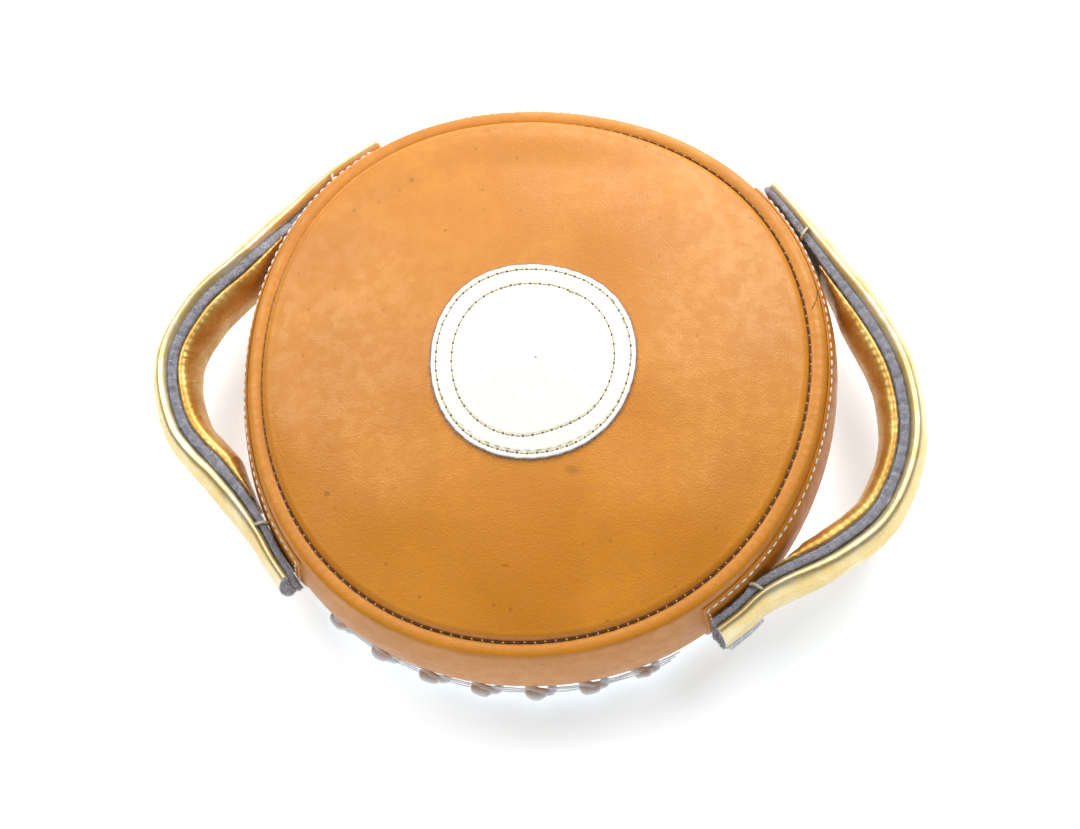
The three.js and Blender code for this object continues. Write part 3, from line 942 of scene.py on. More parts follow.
def face_unevenness(points):
    """How far the stuffing lifts the face at each point, fading out at the seam."""
    radius = np.hypot(points[..., 0], points[..., 1])
    fade = 1 - smoothstep(radius, 145, 169)
    return 0.55 * fade * face_swell(points[..., 0], points[..., 1])


def with_height(points, rise):
    """The points, lifted."""
    lifted = np.array(points, float)
    lifted[..., 2] += rise
    return lifted


def build_face(stitching):
    """The stuffed face, turned down into the seam, with the stuffing under it."""
    edge = SEAM_RADIUS - GAP
    round_radius = edge - FACE_EDGE_ROUND
    round_height = float(dome_height(round_radius)) - FACE_EDGE_ROUND
    radius = np.linspace(0, round_radius, 116)
    dome = np.stack([radius, dome_height(radius)], -1)
    turn = np.linspace(math.pi / 2, 0, 9)[1:]
    over = np.stack(
        [round_radius + FACE_EDGE_ROUND * np.cos(turn), round_height + FACE_EDGE_ROUND * np.sin(turn)], -1
    )
    side_height = np.array([73, 55, 38, 24])
    side = np.stack([wall_radius(side_height) - LEATHER - GAP - np.array([0, 0, 0, 3]), side_height], -1)
    under = np.array([[edge, FOLD_HEIGHT - GAP], *side, [174, 12], [166, 6], [140, 3.1], [0, 3.1]])
    profile = np.vstack([dome, over, under])
    count = 2 * math.pi * SEAM_RADIUS / stitching.seam_spacing * MM

    def relief(points):
        angle = np.arctan2(points[..., 1], points[..., 0])
        radius = np.hypot(points[..., 0], points[..., 1])
        on_top = points[..., 2] > FACE_EDGE_HEIGHT - FACE_EDGE_ROUND
        pucker = smoothstep(radius, 163, 170.5) * (0.5 + 0.5 * np.cos(round(count) * angle))
        bearing = np.degrees(angle) % 360
        bulging = smoothstep(bearing, 60, 100) * (1 - smoothstep(bearing, 195, 225))
        bulge = FACE_BULGE * bulging * smoothstep(radius, 135, 163)
        return with_height(points, on_top * (face_unevenness(points) + bulge - 0.2 * pucker))

    face = revolve_solid("stuffed_face", profile, 420, [finish("tan_face")], relief)
    attach(face, "tan_leather", "face_panel")


RING_SHARES = (0.947, 0.79)
RING_PINCH = 0.05
PINCH_BEARING = -62
PINCH_SPREAD = 24

# The loose thread ends on the target: bearing, and distance out as a share of its radius.
THREAD_ENDS = ((68.5, 0.77), (64, 0.78), (44, 0.948), (30.7, 0.932), (7.4, 0.942))


def ring_pinch(angle):
    """How far the inner ring is flattened at an angle, as a share of its radius."""
    bearing = (angle + 180) % 360 - 180
    return RING_PINCH * np.exp(-(((bearing - PINCH_BEARING) / PINCH_SPREAD) ** 2))


def ring_on_target(radius, angle, proud, pinched=False):
    """Points on the target at a radius from its middle, flattened on one side if pinched."""
    if pinched:
        radius = radius * (1 - ring_pinch(angle))
    points = polar(angle, radius, 0)
    points[:, 0] += TARGET_OFFSET
    rise = dome_height(np.hypot(points[:, 0], points[:, 1])) + face_unevenness(points)
    return hand_sewn(with_height(points, rise + GAP + TARGET_THICKNESS + proud))


def build_target(stitching):
    """The round foil leather target, dimpled along its two rings of stitches, with a frayed edge."""
    radius = np.concatenate([np.linspace(0, TARGET_RADIUS - 0.5, 100), [TARGET_RADIUS - 0.1]])
    groove = sum(0.34 * np.exp(-(((radius - share * TARGET_RADIUS) / 1.0) ** 2)) for share in RING_SHARES)
    top = np.stack([radius, TARGET_THICKNESS - groove], -1)
    top[-1, 1] -= 0.3
    edge = [[TARGET_RADIUS, TARGET_THICKNESS - 0.8], [TARGET_RADIUS, 0], [TARGET_RADIUS - 4, 0]]
    profile = np.vstack([top, edge, [[0, 0]]])
    steps = 360

    def relief(points):
        moved = np.array(points, float)
        turn = np.arctan2(points[..., 1], points[..., 0])
        reach = np.hypot(points[..., 0], points[..., 1]) / TARGET_RADIUS
        near_ring = np.exp(-(((reach - RING_SHARES[1]) / 0.1) ** 2))
        moved[..., :2] *= (1 - ring_pinch(np.degrees(turn)) * near_ring)[..., None]
        ragged = smoothstep(reach, 0.985, 1.0) * 0.0022 * np.sin(37 * turn + 3 * np.sin(5 * turn))
        moved[..., :2] *= (1 + ragged)[..., None]
        moved[..., 0] += TARGET_OFFSET
        rise = dome_height(np.hypot(moved[..., 0], moved[..., 1])) + face_unevenness(moved)
        return with_height(moved, rise + GAP)

    target = revolve_solid("target", profile, steps, [finish("pale_gold"), finish("raw_edge")], relief)
    raw = np.zeros(len(target.data.vertices))
    rim = len(top) - 2
    raw[rim * steps : (rim + 2) * steps] = 1
    edge_faces = [all(raw[corner] > 0 for corner in polygon.vertices) for polygon in target.data.polygons]
    target.data.polygons.foreach_set("material_index", np.array(edge_faces, int))
    target = fray(target, raw, finish("raw_edge"), stitching.fibres * 2.6, 1.7, radius=0.1, seed=4)
    attach(target, "pale_gold_leather", "target_patch")
    angle = np.linspace(0, 360, 361)[:-1]
    spacing, length = stitching.target_spacing / MM, stitching.target_length / MM
    radius = stitching.thread_radius / MM
    gold, hole = finish("gold_thread"), finish("dark_hole")
    rings = []
    for number, share in enumerate(RING_SHARES):
        line = ring_on_target(share * TARGET_RADIUS, angle, -0.1, pinched=share == RING_SHARES[1])
        name = f"target_stitches_{number + 1}"
        rings.append(stitch_row(name, line, gold, spacing, length, radius * 0.85, True, 0.12, number))
        # Dark beads between the stitches: painted shade in the needle holes.
        holes = evenly(np.vstack([line, line[:1]]), 4001)[:-1]
        shift = int(round(len(holes) * 0.5 / round(2 * math.pi * share * TARGET_RADIUS / spacing)))
        holes = np.roll(holes, -shift, 0)
        rings.append(stitch_row(name + "_holes", holes, hole, spacing, 1.9, 0.62, True, 0.14, number))
    double = ring_on_target(RING_SHARES[0] * TARGET_RADIUS - 1.7, np.linspace(-128, -40, 90), -0.05)
    rings.append(stitch_row("target_stitches_3", double, gold, spacing, length, radius * 0.6, False, 0.2, 7))
    centre = ring_on_target(2.5, np.array([10.0, 14.0]), -0.05)
    rings.append(tube("target_middle", centre, 0.55, hole))
    for number, (at, share) in enumerate(THREAD_ENDS):
        end = ring_on_target(share * TARGET_RADIUS, at + np.array([-1.6, -0.4, 0.9, 1.8]), 0.25)
        end[:, :2] += np.array([[0, 0], [0.5, 0.4], [-0.3, 0.6], [0.4, -0.5]])
        rings.append(tube(f"target_thread_end_{number}", spline(end, 10), 0.35, finish("beige_thread"), 6))
    attach(join("target_stitching", rings), "gold_leather")


# The wall, the back and the patches

def build_wall(stitching):
    """The side band with its rolled rim, and the seam between it and the face."""
    outer = outer_profile()
    height = np.linspace(FOLD_HEIGHT - LEATHER, FOOT_HEIGHT, 5)
    inner = np.stack([wall_radius(height) - LEATHER, height], -1)
    profile = np.vstack([outer, [[outer[-1, 0], FOLD_HEIGHT]], inner])
    count = round(2 * math.pi * SEAM_RADIUS / stitching.seam_spacing * MM)

    def relief(points):
        angle = np.arctan2(points[..., 1], points[..., 0])
        rim = smoothstep(points[..., 2], 84, 87.5)
        pucker = rim * 0.1 * (0.5 + 0.5 * np.cos(count * angle))
        soft = wall_swell(WALL_RADIUS * angle, points[..., 2] * 1.5)
        bulge = smoothstep(points[..., 2], 14, 30) * (1 - smoothstep(points[..., 2], 66, 84))
        moved = np.array(points, float)
        moved[..., :2] *= (1 + 0.0012 * bulge * soft)[..., None]
        moved[..., 2] -= RIM_SOFTENING * np.maximum(0, moved[..., 2] - RIM_SOFT_HEIGHT)
        return with_height(moved, -pucker)

    wall = revolve("side_band_leather", profile, 900, [finish("tan_wall")], relief)
    attach(wall, "tan_leather", "side_band")
    angle = np.linspace(0, 360, 721)[:-1]
    line = hand_sewn(polar(angle, SEAM_RADIUS - 0.15, 84.9))
    spacing, length = stitching.seam_spacing / MM, stitching.seam_length / MM
    radius = stitching.thread_radius / MM
    brown, beige = finish("brown_thread"), finish("beige_thread")
    # The dark brown row in the seam groove is the seam's thread and also painted shade in the gap between
    # face and rim; the beige knots are the thread crossing it.
    seam = stitch_row("seam_thread", line, brown, spacing, length, radius * 1.35, True, 0.1, 2)
    shifted = hand_sewn(polar(angle + 180 / count, SEAM_RADIUS - 0.1, 85.7))
    knots = stitch_row("seam_knots", shifted, beige, spacing, 1.1, radius * 0.8, True, 0.22, 3)
    attach(join("face_seam_stitching", [seam, knots]), "tan_leather")


def build_back(stitching):
    """The silver back, turned up to the foot of the wall, with its row of stitches."""
    radius = np.concatenate([np.linspace(0, BACK_FLAT_RADIUS, 24), np.linspace(153, BACK_EDGE_RADIUS, 24)])
    outside = np.stack([radius, back_height(radius)], -1)
    inside = outside[::-1][::3] + [0, BACK_THICKNESS]
    profile = np.vstack([outside, inside, [[0, BACK_THICKNESS]]])

    def relief(points):
        radius = np.hypot(points[..., 0], points[..., 1])
        lift = 0.35 * smoothstep(radius, 150, 165) * (1 + face_swell(points[..., 1], points[..., 0]))
        return with_height(points, lift * (1 - smoothstep(radius, 178, 185)))

    back = revolve_solid("back_leather", profile, 360, [finish("silver")], relief)
    attach(back, "silver_leather", "back_panel")
    line = hand_sewn(polar(np.linspace(0, 360, 361)[:-1], 183, float(back_height(183)) - 0.15))
    row = stitch_row(
        "back_stitching", line, finish("white_thread"), stitching.patch_spacing / MM,
        stitching.patch_length / MM, stitching.thread_radius / MM, True, 0.1, 5,
    )
    attach(row, "silver_leather")


# Each patch on the wall: half its spread in degrees, its low edge and its high edge.
HANDLE_PATCH = (48, 16, 79)
FAR_PATCH = (24, 20, 77)
PATCH_INSET = 2.6
SHEET_EDGE_DROP = 0.8


def wall_sheet(name, middle, spread, low, high, material):
    """A sheet on the wall between two angles and two heights, with softly rounded edges."""
    turn = np.linspace(0, 1, 40)
    height = low + (high - low) * turn
    edge = SHEET_EDGE_DROP * (1 - smoothstep(np.minimum(turn, 1 - turn), 0, 0.05))
    rings = []
    for angle in np.linspace(middle - spread, middle + spread, int(spread * 3) + 1):
        lift = 0.12 * wall_swell(3.3 * angle, height * 2)
        proud = GAP + PATCH_THICKNESS - edge + lift * (1 - edge / SHEET_EDGE_DROP)
        outer = on_wall(angle, height, proud)
        inner = on_wall(angle, height[::-8], GAP)
        rings.append(np.vstack([outer, inner]))
    rings = hand_sewn(np.array(rings))
    return sweep(name, rings, [material], end_round=0.25, end_share=0.996)


def patch_border(middle, spread, low, high, proud):
    """A closed line inside the edge of a wall patch."""
    start, end = middle - spread + PATCH_INSET / 3.2, middle + spread - PATCH_INSET / 3.2
    bottom, top = low + PATCH_INSET, high - PATCH_INSET
    across = np.linspace(start, end, 120)
    up = np.linspace(bottom, top, 30)
    runs = [
        on_wall(across, np.full(120, bottom), proud),
        on_wall(end, up, proud)[1:],
        on_wall(across[::-1], np.full(120, top), proud)[1:],
        on_wall(start, up[::-1], proud)[1:-1],
    ]
    return hand_sewn(np.vstack(runs))


def build_patches(stitching):
    """The patches behind the handles and on the far side, with their stitching."""
    spacing, length = stitching.patch_spacing / MM, stitching.patch_length / MM
    radius = stitching.thread_radius / MM
    proud = GAP + PATCH_THICKNESS + 0.1
    white, beige = finish("white_thread"), finish("beige_thread")
    for side, middle in ((1, 0), (-1, 180)):
        label = SIDE_NAMES[side]
        patch = wall_sheet("patch_" + label, middle, *HANDLE_PATCH, finish("tan_patch"))
        attach(patch, "tan_leather", "handle_patch_" + label)
        line = patch_border(middle, *HANDLE_PATCH, proud)
        name = f"patch_{label}_stitching"
        row = stitch_row(name, line, white, spacing, length, radius, True, 0.14, 8 + side)
        attach(row, "white_lace")
    far = wall_sheet("far_patch_leather", 90, *FAR_PATCH, finish("silver"))
    attach(far, "silver_leather", "far_patch")
    line = patch_border(90, *FAR_PATCH, proud)
    row = stitch_row("far_patch_stitching", line, beige, spacing, length, radius * 0.8, True, 0.14, 6)
    # A dark line down the far patch's join: painted shade in its crease.
    join_line = hand_sewn(on_wall(90.5, np.linspace(24, 76, 20), proud))
    crease = stitch_row("far_patch_join", join_line, finish("dark_hole"), 1.2, 1.4, 0.3, False, 0.1, 12)
    attach(join("far_patch_stitching", [row, crease]), "silver_leather")


# The laced edge

LACE_MIDDLE = -92
LACE_LOOPS = 7
LACE_PITCH = 10.3
LACE_SLANT = 2.1
LACE_TURN = (
    (-1.2, 182, 15), (-1.1, 187, 17), (-0.7, 190.0, 15.6), (0, 190.8, 12),
    (0.8, 189.6, 7.6), (1, 185, 5.4), (1.2, 180.5, 6.8), (1.4, 178.5, 11.5),
)
LACE_HALF_WIDTH = 3.5
LACE_HALF_THICKNESS = 2.4
BEAN_RADIUS = 3.5
BEAN_SHIFT = -1.0
LACE_FULLNESS = (0.8, 0.95, 1.0, 1.05, 1.1, 1.05, 1.1)

# Each silver ply behind the lace: its inner radius, its low edge and its high edge.
LACING_PLIES = ((187.6, 7.3, 14.2), (188.7, 7.1, 13.0), (189.8, 6.6, 11.6))
LACING_PLY_THICKNESS = 0.72


def loop_middle(loop):
    """The bearing of the middle of a lace loop."""
    return LACE_MIDDLE + (loop - (LACE_LOOPS - 1) / 2) * LACE_PITCH


def build_lace():
    """The white lace, whip-stitched over the edge in fat loops, and its knot."""
    stops, fullness = [], []
    for loop in range(LACE_LOOPS):
        middle = loop_middle(loop)
        for turn, radius, height in LACE_TURN:
            stops.append(polar(middle + turn * LACE_SLANT, radius, height))
            fullness.append(LACE_FULLNESS[loop] * (1.0 if radius > 188 else 0.55))
    line = spline(np.array(stops), LACE_LOOPS * 60)
    nearest = [np.argmin(np.linalg.norm(line - stop, axis=1)) for stop in stops]
    full = np.interp(np.arange(len(line)), nearest, fullness)
    full = np.convolve(np.pad(full, 6, mode="edge"), np.ones(13) / 13, mode="valid")
    along = np.gradient(line, axis=0)
    along /= np.linalg.norm(along, axis=1)[:, None]
    angle = np.degrees(np.arctan2(line[:, 1], line[:, 0]))
    out = line - polar(angle, 183, 11)
    across = np.cross(out, along)
    across /= np.linalg.norm(across, axis=1)[:, None]
    up = np.cross(along, across)
    turn = np.linspace(0, 2 * math.pi, 40, endpoint=False)
    length = np.concatenate([[0], np.cumsum(np.linalg.norm(np.diff(line, axis=0), axis=1))])
    strands = 1 + 0.07 * np.abs(np.sin(5 * turn[None, :] + length[:, None] * 0.55))
    wide = LACE_HALF_WIDTH * full[:, None] * strands
    thick = LACE_HALF_THICKNESS * (0.5 + 0.5 * full[:, None]) * strands
    rings = (
        line[:, None, :]
        + (wide * np.cos(turn))[..., None] * across[:, None, :]
        + (thick * np.sin(turn))[..., None] * up[:, None, :]
    )
    rings[..., 2] = np.maximum(rings[..., 2], 0.4)
    white = finish("white_lace")
    lace = sweep("lace_run", hand_sewn(rings), [white], end_share=0.6)
    beans = []
    for loop in range(LACE_LOOPS - 1):
        turn = np.linspace(-1, 1, 30)
        height = 13.6 - 2.2 * turn + 0.5 * np.sin(3 * turn + loop)
        run = polar(loop_middle(loop) + BEAN_SHIFT + 1.9 * turn, 192.2 - 1.8 * turn**2, height)
        uneven = 1 + 0.06 * np.sin(5 * turn + 2 * loop)
        plump = BEAN_RADIUS * LACE_FULLNESS[loop] * (1 - 0.75 * turn**4) * uneven
        beans.append(tube(f"lace_bean_{loop}", hand_sewn(run), plump, white, 24))
    last = loop_middle(LACE_LOOPS - 1) + BEAN_SHIFT
    turn = np.linspace(0, 2 * math.pi * 1.15, 30)
    wrap = polar(last + 0.8 * np.cos(turn), 191.4 + 0.9 * np.cos(turn * 0.5), 13.0 + 2.6 * np.sin(turn))
    knot = tube("lace_knot", hand_sewn(wrap), 2.5, white, 16)
    raw = np.full(len(lace.data.vertices), 0.25)
    lace = fray(lace, raw, white, 0.8, 0.9, radius=0.07, seed=9)
    attach(join("lace_loops", [lace, knot, *beans]), "white_lace", "lace")


def build_lacing_strip():
    """The folded silver plies that the lace gathers along the near edge."""
    angle = np.linspace(-90 - 36, -90 + 36, 320)
    wave = swells(31, 8, 9, 40)
    plies = []
    for number, (inner, low, high) in enumerate(LACING_PLIES):
        rings = []
        for at in angle[number * 2 : len(angle) - 5 * number]:
            rise = 0.5 * wave(at * 3.3, 20 * number)
            drift = 0.18 * wave(at * 3.3 + 7, 40 + 20 * number)
            ragged = 0.35 * wave(at * 13, 11 * number)
            height = np.linspace(low + rise, high + rise + ragged, 6)
            lean = (height - 6) * 0.09
            outer = polar(at, inner + lean + LACING_PLY_THICKNESS + drift, height)
            rings.append(np.vstack([outer, polar(at, inner + lean + drift, height)[::-1]]))
        plies.append(sweep(f"lacing_ply_{number}", hand_sewn(np.array(rings)), [finish("silver")], 0.3, 0.7))
    attach(join("lacing_plies", plies), "silver_leather", "lacing_strip")


# The handles

def handle_line(side, count):
    """Stations along a handle: place, outward direction, reach beyond the tabs and padding share."""
    far_end = TAB_END_ANGLE if side > 0 else FAR_LEFT_END_ANGLE
    far = polar(np.linspace(far_end, TAB_BEND_ANGLE, 3), TAB_MIDDLE_RADIUS, 0)[:, :2]
    near = polar(np.linspace(-TAB_BEND_ANGLE, -TAB_END_ANGLE, 3), TAB_MIDDLE_RADIUS, 0)[:, :2]
    stops = np.vstack([far * [side, 1], BOWS[side], near * [side, 1]])
    fine = spline(stops, 4000)
    place = evenly(fine, count)
    along = np.gradient(place, axis=0)
    along /= np.linalg.norm(along, axis=1)[:, None]
    out = np.stack([-side * along[:, 1], side * along[:, 0]], -1)
    reach = np.hypot(place[:, 0], place[:, 1]) - TAB_MIDDLE_RADIUS
    angle = np.degrees(np.arctan2(np.abs(place[:, 1]), np.abs(place[:, 0])))
    padding = 1 - smoothstep(angle, PADDING_FULL_ANGLE, PADDING_END_ANGLE)
    drop = 0.0 if side > 0 else FAR_LEFT_DROP
    drop = drop * smoothstep(place[:, 1], DROP_START, DROP_END)
    length = np.concatenate([[0], np.cumsum(np.linalg.norm(np.diff(place, axis=0), axis=1))])
    return {"place": place, "out": out, "reach": reach, "padding": padding, "drop": drop, "length": length}


def handle_rings(line, offset, height, keep=slice(None)):
    """Rings from offsets and heights at each station, leaning with the wall at the tabs."""
    upright = smoothstep(line["reach"], 0, 22)[:, None]
    height = height - line["drop"][:, None]
    lean = (1 - upright) * (wall_radius(height) - wall_radius((HANDLE_LOW + HANDLE_HIGH) / 2))
    plan = line["place"][:, None, :] + line["out"][:, None, :] * (offset + lean)[..., None]
    rings = np.concatenate([plan, np.broadcast_to(height, offset.shape)[..., None]], -1)
    return hand_sewn(rings[keep])


SUNK_SEAM = 7
SEAM_STITCH = 5.6
CREASE_DEPTH = 0.55
LEFT_CREASE_SHARE = 0.35


def slimness(line):
    """How thick the seam layer is along a handle: it is pressed thin on the tabs."""
    return 0.6 + 0.4 * line["padding"]


def build_strap(side, handles):
    """The outer strap: a padded fold of foil leather, flat on its tabs, with raw cut ends."""
    line = handle_line(side, 420)
    face = (SEAM_LAYER_HALF * slimness(line) + PLY_GAP)[:, None]
    depth = (TAB_DEPTH + (STRAP_DEPTH - TAB_DEPTH) * line["padding"] - EDGE_THICKNESS)[:, None]
    turn = np.linspace(0, math.pi, 56)[None, :]
    fullness = STRAP_FULLNESS - 0.3 * (1 - line["padding"][:, None])
    outer = face + EDGE_THICKNESS + depth * np.sin(turn) ** fullness
    height = HANDLE_LOW + (HANDLE_HIGH - HANDLE_LOW) * (1 - np.cos(turn)) / 2
    height = np.broadcast_to(height, outer.shape)
    wave = swells(41 + side, 10, 16, 60)
    dent = wave(line["length"][:, None], height * 1.2)
    outer = outer - handles.dents / MM * (1 - dent) * 0.5 * line["padding"][:, None] * np.sin(turn)
    along = line["length"][:, None] / line["length"][-1]
    crease_height = 50 + 9 * along + 0.8 * np.sin(22 * along)
    window = smoothstep(along, 0.6, 0.7) * (1 - smoothstep(along, 0.9, 0.94))
    crease = np.exp(-(((height - crease_height) / 0.9) ** 2)) * window
    outer = outer - CREASE_DEPTH * crease * (1 if side > 0 else LEFT_CREASE_SHARE)
    roll = 1.6 * np.exp(-((outer - face - EDGE_THICKNESS) / 1.6))
    height = height - roll * (turn > math.pi / 2) + roll * (turn < math.pi / 2)
    ridge = np.exp(-(((outer - face - 0.45 * depth) / (0.4 * depth)) ** 2))
    height = height + (0.8 + 1.8 * line["padding"][:, None]) * ridge * (turn > math.pi / 2)
    back = np.linspace(HANDLE_HIGH - 2.2, HANDLE_LOW + 2.2, 8)[None, :]
    offset = np.concatenate([outer, np.broadcast_to(face, (len(outer), 8))], 1)
    height = np.concatenate([height, np.broadcast_to(back, (len(outer), 8))], 1)
    rings = handle_rings(line, offset, height)
    name = "strap_leather_" + SIDE_NAMES[side]
    strap = sweep(name, rings, [finish("gold_strap"), finish("raw_pale")], 0.25, 0.97, ends_index=1)
    raw = np.zeros(len(strap.data.vertices))
    columns = rings.shape[1]
    raw[:columns] = raw[-2 - columns :] = 1
    strap = fray(strap, raw, finish("raw_edge"), handles.fibres, 1.3, seed=14 + side)
    attach(strap, "gold_leather", "strap_" + SIDE_NAMES[side])


def build_seam_layer(side, handles):
    """The fuzzy grey edge that stands up between strap and grip, scalloped by its stitches."""
    line = handle_line(side, 760)
    scallop = 0.5 + 0.5 * np.cos(2 * math.pi * line["length"] / SEAM_STITCH)
    wave = swells(51 + side, 8, 7, 30)
    drift = wave(line["length"], 0)
    sunk = SUNK_SEAM * line["drop"] / FAR_LEFT_DROP
    top = (HANDLE_HIGH + 1.3 + 0.5 * drift - 0.3 * scallop - sunk)[:, None]
    slim = slimness(line)
    half = ((SEAM_LAYER_HALF - 0.15 * scallop - 0.2 * drift) * slim)[:, None]
    turn = np.linspace(0, math.pi, 11)[None, :]
    across = half * np.cos(turn)
    crown = top - 1.0 + np.sin(turn) ** 0.6
    rough = swells(61 + side, 16, 1.6, 5)
    crown = crown + 0.16 * rough(line["length"][:, None], across * 2)
    share = np.array([0.95, 0.83, 0.45, 0.14, 0.0])[None, :]
    down = HANDLE_LOW - 1.6 + (top - 1.0 - HANDLE_LOW + 1.6) * share
    full = np.broadcast_to(slim[:, None] * (SEAM_LAYER_HALF - 0.1), down.shape)
    offset = np.concatenate([across, -full, full], 1)
    height = np.concatenate([crown, down, down[:, ::-1]], 1)
    rings = handle_rings(line, offset, height)
    name = "raw_seam_" + SIDE_NAMES[side]
    layer = sweep(name, rings, [finish("raw_edge")], 0.3, 0.96)
    raw = np.zeros((len(rings) + 2, rings.shape[1]))
    raw[:, :11] = 1
    raw[[0, 1, -1, -2], :] = 1
    raw = np.concatenate([raw.ravel(), [1, 1]])
    layer = fray(layer, raw, finish("raw_pale"), handles.fibres * 1.5, 1.1, seed=24 + side)
    attach(layer, "grey_raw_edge", "seam_" + SIDE_NAMES[side])


def build_grip(side, handles):
    """The inner grip: padded foil leather gathered in cross wrinkles along its seam."""
    count = 520
    line = handle_line(side, count)
    face = -SEAM_LAYER_HALF - PLY_GAP
    room = np.minimum(GRIP_DEPTH, 0.8 * line["reach"] - GAP) - EDGE_THICKNESS
    turn = np.linspace(math.pi, 0, 48)[None, :]
    depth = room[:, None] * np.sin(turn) ** STRAP_FULLNESS
    height = np.broadcast_to(HANDLE_LOW + (HANDLE_HIGH - HANDLE_LOW) * (1 - np.cos(turn)) / 2, depth.shape)
    length = line["length"][:, None]
    fine, broad = swells(71 + side, 14, 3.5, 11), swells(81 + side, 8, 14, 50)
    slant = 0.35 * (HANDLE_HIGH - height)
    fold = np.abs(fine(length + slant, height * 0.12)) ** 0.8
    near_seam = smoothstep(height, 46, 66)
    bends = smoothstep(np.abs(length / length[-1] - 0.5), 0.2, 0.42)
    wrinkle = handles.wrinkles / MM * (0.35 + 0.65 * bends) * (0.35 + 0.65 * near_seam)
    gather = 0.5 + 0.5 * np.cos(2 * math.pi * length / SEAM_STITCH)
    pucker = 0.14 * gather * smoothstep(height, 63, 67.6)
    outer = EDGE_THICKNESS + depth - wrinkle * (1 - fold) * np.sin(turn) ** 0.5
    outer = outer - 0.4 * (1 - broad(length, height * 0.5)) * 0.5 * np.sin(turn) - pucker * 0.6
    outer = np.maximum(outer, 0.7)
    height = height - pucker
    back = np.linspace(HANDLE_LOW + 1, HANDLE_HIGH - 1.4, 8)[None, :]
    offset = np.concatenate([face - outer, np.full((len(outer), 8), face)], 1)
    height = np.concatenate([height, np.broadcast_to(back, (len(outer), 8))], 1)
    keep = line["reach"] > 3.5
    rings = handle_rings(line, offset, height, keep)
    name = "grip_leather_" + SIDE_NAMES[side]
    grip = sweep(name, rings, [finish("gold_grip")], 0.3, 0.92)
    attach(grip, "gold_leather", "grip_" + SIDE_NAMES[side])
    run = handle_rings(line, np.full((count, 1), face - 1.0), np.full((count, 1), HANDLE_HIGH - 0.9), keep)
    name = "grip_stitching_" + SIDE_NAMES[side]
    gold = finish("gold_thread")
    row = stitch_row(name, run[:, 0], gold, SEAM_STITCH, 3.0, 0.42, False, 0.3, 30 + side)
    attach(row, "gold_leather")


# Each bar tack's side and end, and its place as a share of the handle's length.
BAR_TACKS = {(1, 1): 0.105, (1, -1): 0.9, (-1, 1): 0.1, (-1, -1): 0.895}


def build_bar_tacks():
    """A loop of heavy thread over the seam layer at each bend."""
    loops = []
    for (side, end), share in BAR_TACKS.items():
        count = 400
        line = handle_line(side, count)
        first = int(share * (count - 1))
        stations = first + np.array([0, 1, 2, 3, 4, 4])
        picked = {key: value[stations] for key, value in line.items()}
        offset = np.array([3.6, 2.6, 1.0, -1.0, -2.6, -3.1])[:, None]
        height = np.array([68.2, 69.8, 70.9, 70.9, 69.4, 66.5])[:, None]
        run = handle_rings(picked, offset, height)[:, 0]
        name = f"bar_tack_{SIDE_NAMES[side]}_{'far' if end > 0 else 'near'}"
        loops.append(tube(name, spline(run, 22), 0.95, finish("beige_thread"), 10))
    attach(join("bar_tacks", loops), "white_lace")


# Each ply of the tab edge: its low edge, its high edge and its distance out from the seam's middle.
TAB_PLIES = ((26.4, 30.6, 6.2), (24.0, 28.4, 8.2), (21.4, 26.2, 10.1))
TAB_PLY_THICKNESS = 1.8


def build_tab_edge():
    """The stepped silver plies below the near tab of the right handle, with loose white threads."""
    count = 420
    line = handle_line(1, count)
    keep = np.linspace(0, 1, count) > 0.9
    wave = swells(91, 8, 5, 20)
    plies = []
    for number, (low, high, near) in enumerate(TAB_PLIES):
        span = np.linspace(0, 1, 5)[None, :]
        ragged = 0.35 * wave(line["length"] * 2, 9 * number)[:, None]
        height = low + ragged + (high - low - ragged) * span
        outer = np.full_like(height, near + TAB_PLY_THICKNESS)
        inner = np.full_like(height, near)
        there_and_back = np.concatenate([height, height[:, ::-1]], 1)
        rings = handle_rings(line, np.concatenate([outer, inner], 1), there_and_back, keep)
        rings = rings[number * 3 : len(rings) - 2 * number]
        plies.append(sweep(f"tab_ply_{number}", rings, [finish("silver")], 0.2, 0.85))
    last = {key: value[keep] for key, value in line.items()}
    for number, place in enumerate((6, 15, 24, 33)):
        picked = {key: value[place + np.array([0, 1, 3, 4])] for key, value in last.items()}
        offset = np.array([[6.8], [9.2], [11.2], [12.1]])
        height = np.array([[31.2], [29.0], [26.8], [23.0]])
        run = handle_rings(picked, offset, height)
        plies.append(tube(f"tab_thread_{number}", spline(run[:, 0], 12), 0.35, finish("white_thread"), 6))
    attach(join("tab_edge_plies", plies), "silver_leather", "tab_edge_right")


def build_hair():
    """A loose hair lying on the right of the rim."""
    rim = rim_profile(16)
    stops = [
        on_wall(24.6, 74.0, 0.35),
        on_wall(23.2, 79.5, 0.35),
        on_wall(21.4, 84.5, 0.35),
        polar(19.9, rim[4, 0] + 0.2, rim[4, 1] + 0.35),
        polar(18.8, rim[7, 0], rim[7, 1] + 0.4),
    ]
    line = hand_sewn(spline(np.array(stops).reshape(-1, 3), 40))
    attach(tube("loose_hair", line, 0.22, finish("brown_thread"), 6), "tan_leather")


# The stage

def look_matrix(place, target, roll):
    """A camera's place and turn, aimed at a point and rolled by an angle."""
    ahead = (Vector(target) - Vector(place)).normalized()
    right = ahead.cross(Vector((0, 0, 1))).normalized()
    up = right.cross(ahead)
    turned_right = right * math.cos(roll) + up * math.sin(roll)
    turned_up = up * math.cos(roll) - right * math.sin(roll)
    columns = Matrix((turned_right, turned_up, -ahead)).transposed()
    return Matrix.Translation(place) @ columns.to_4x4()


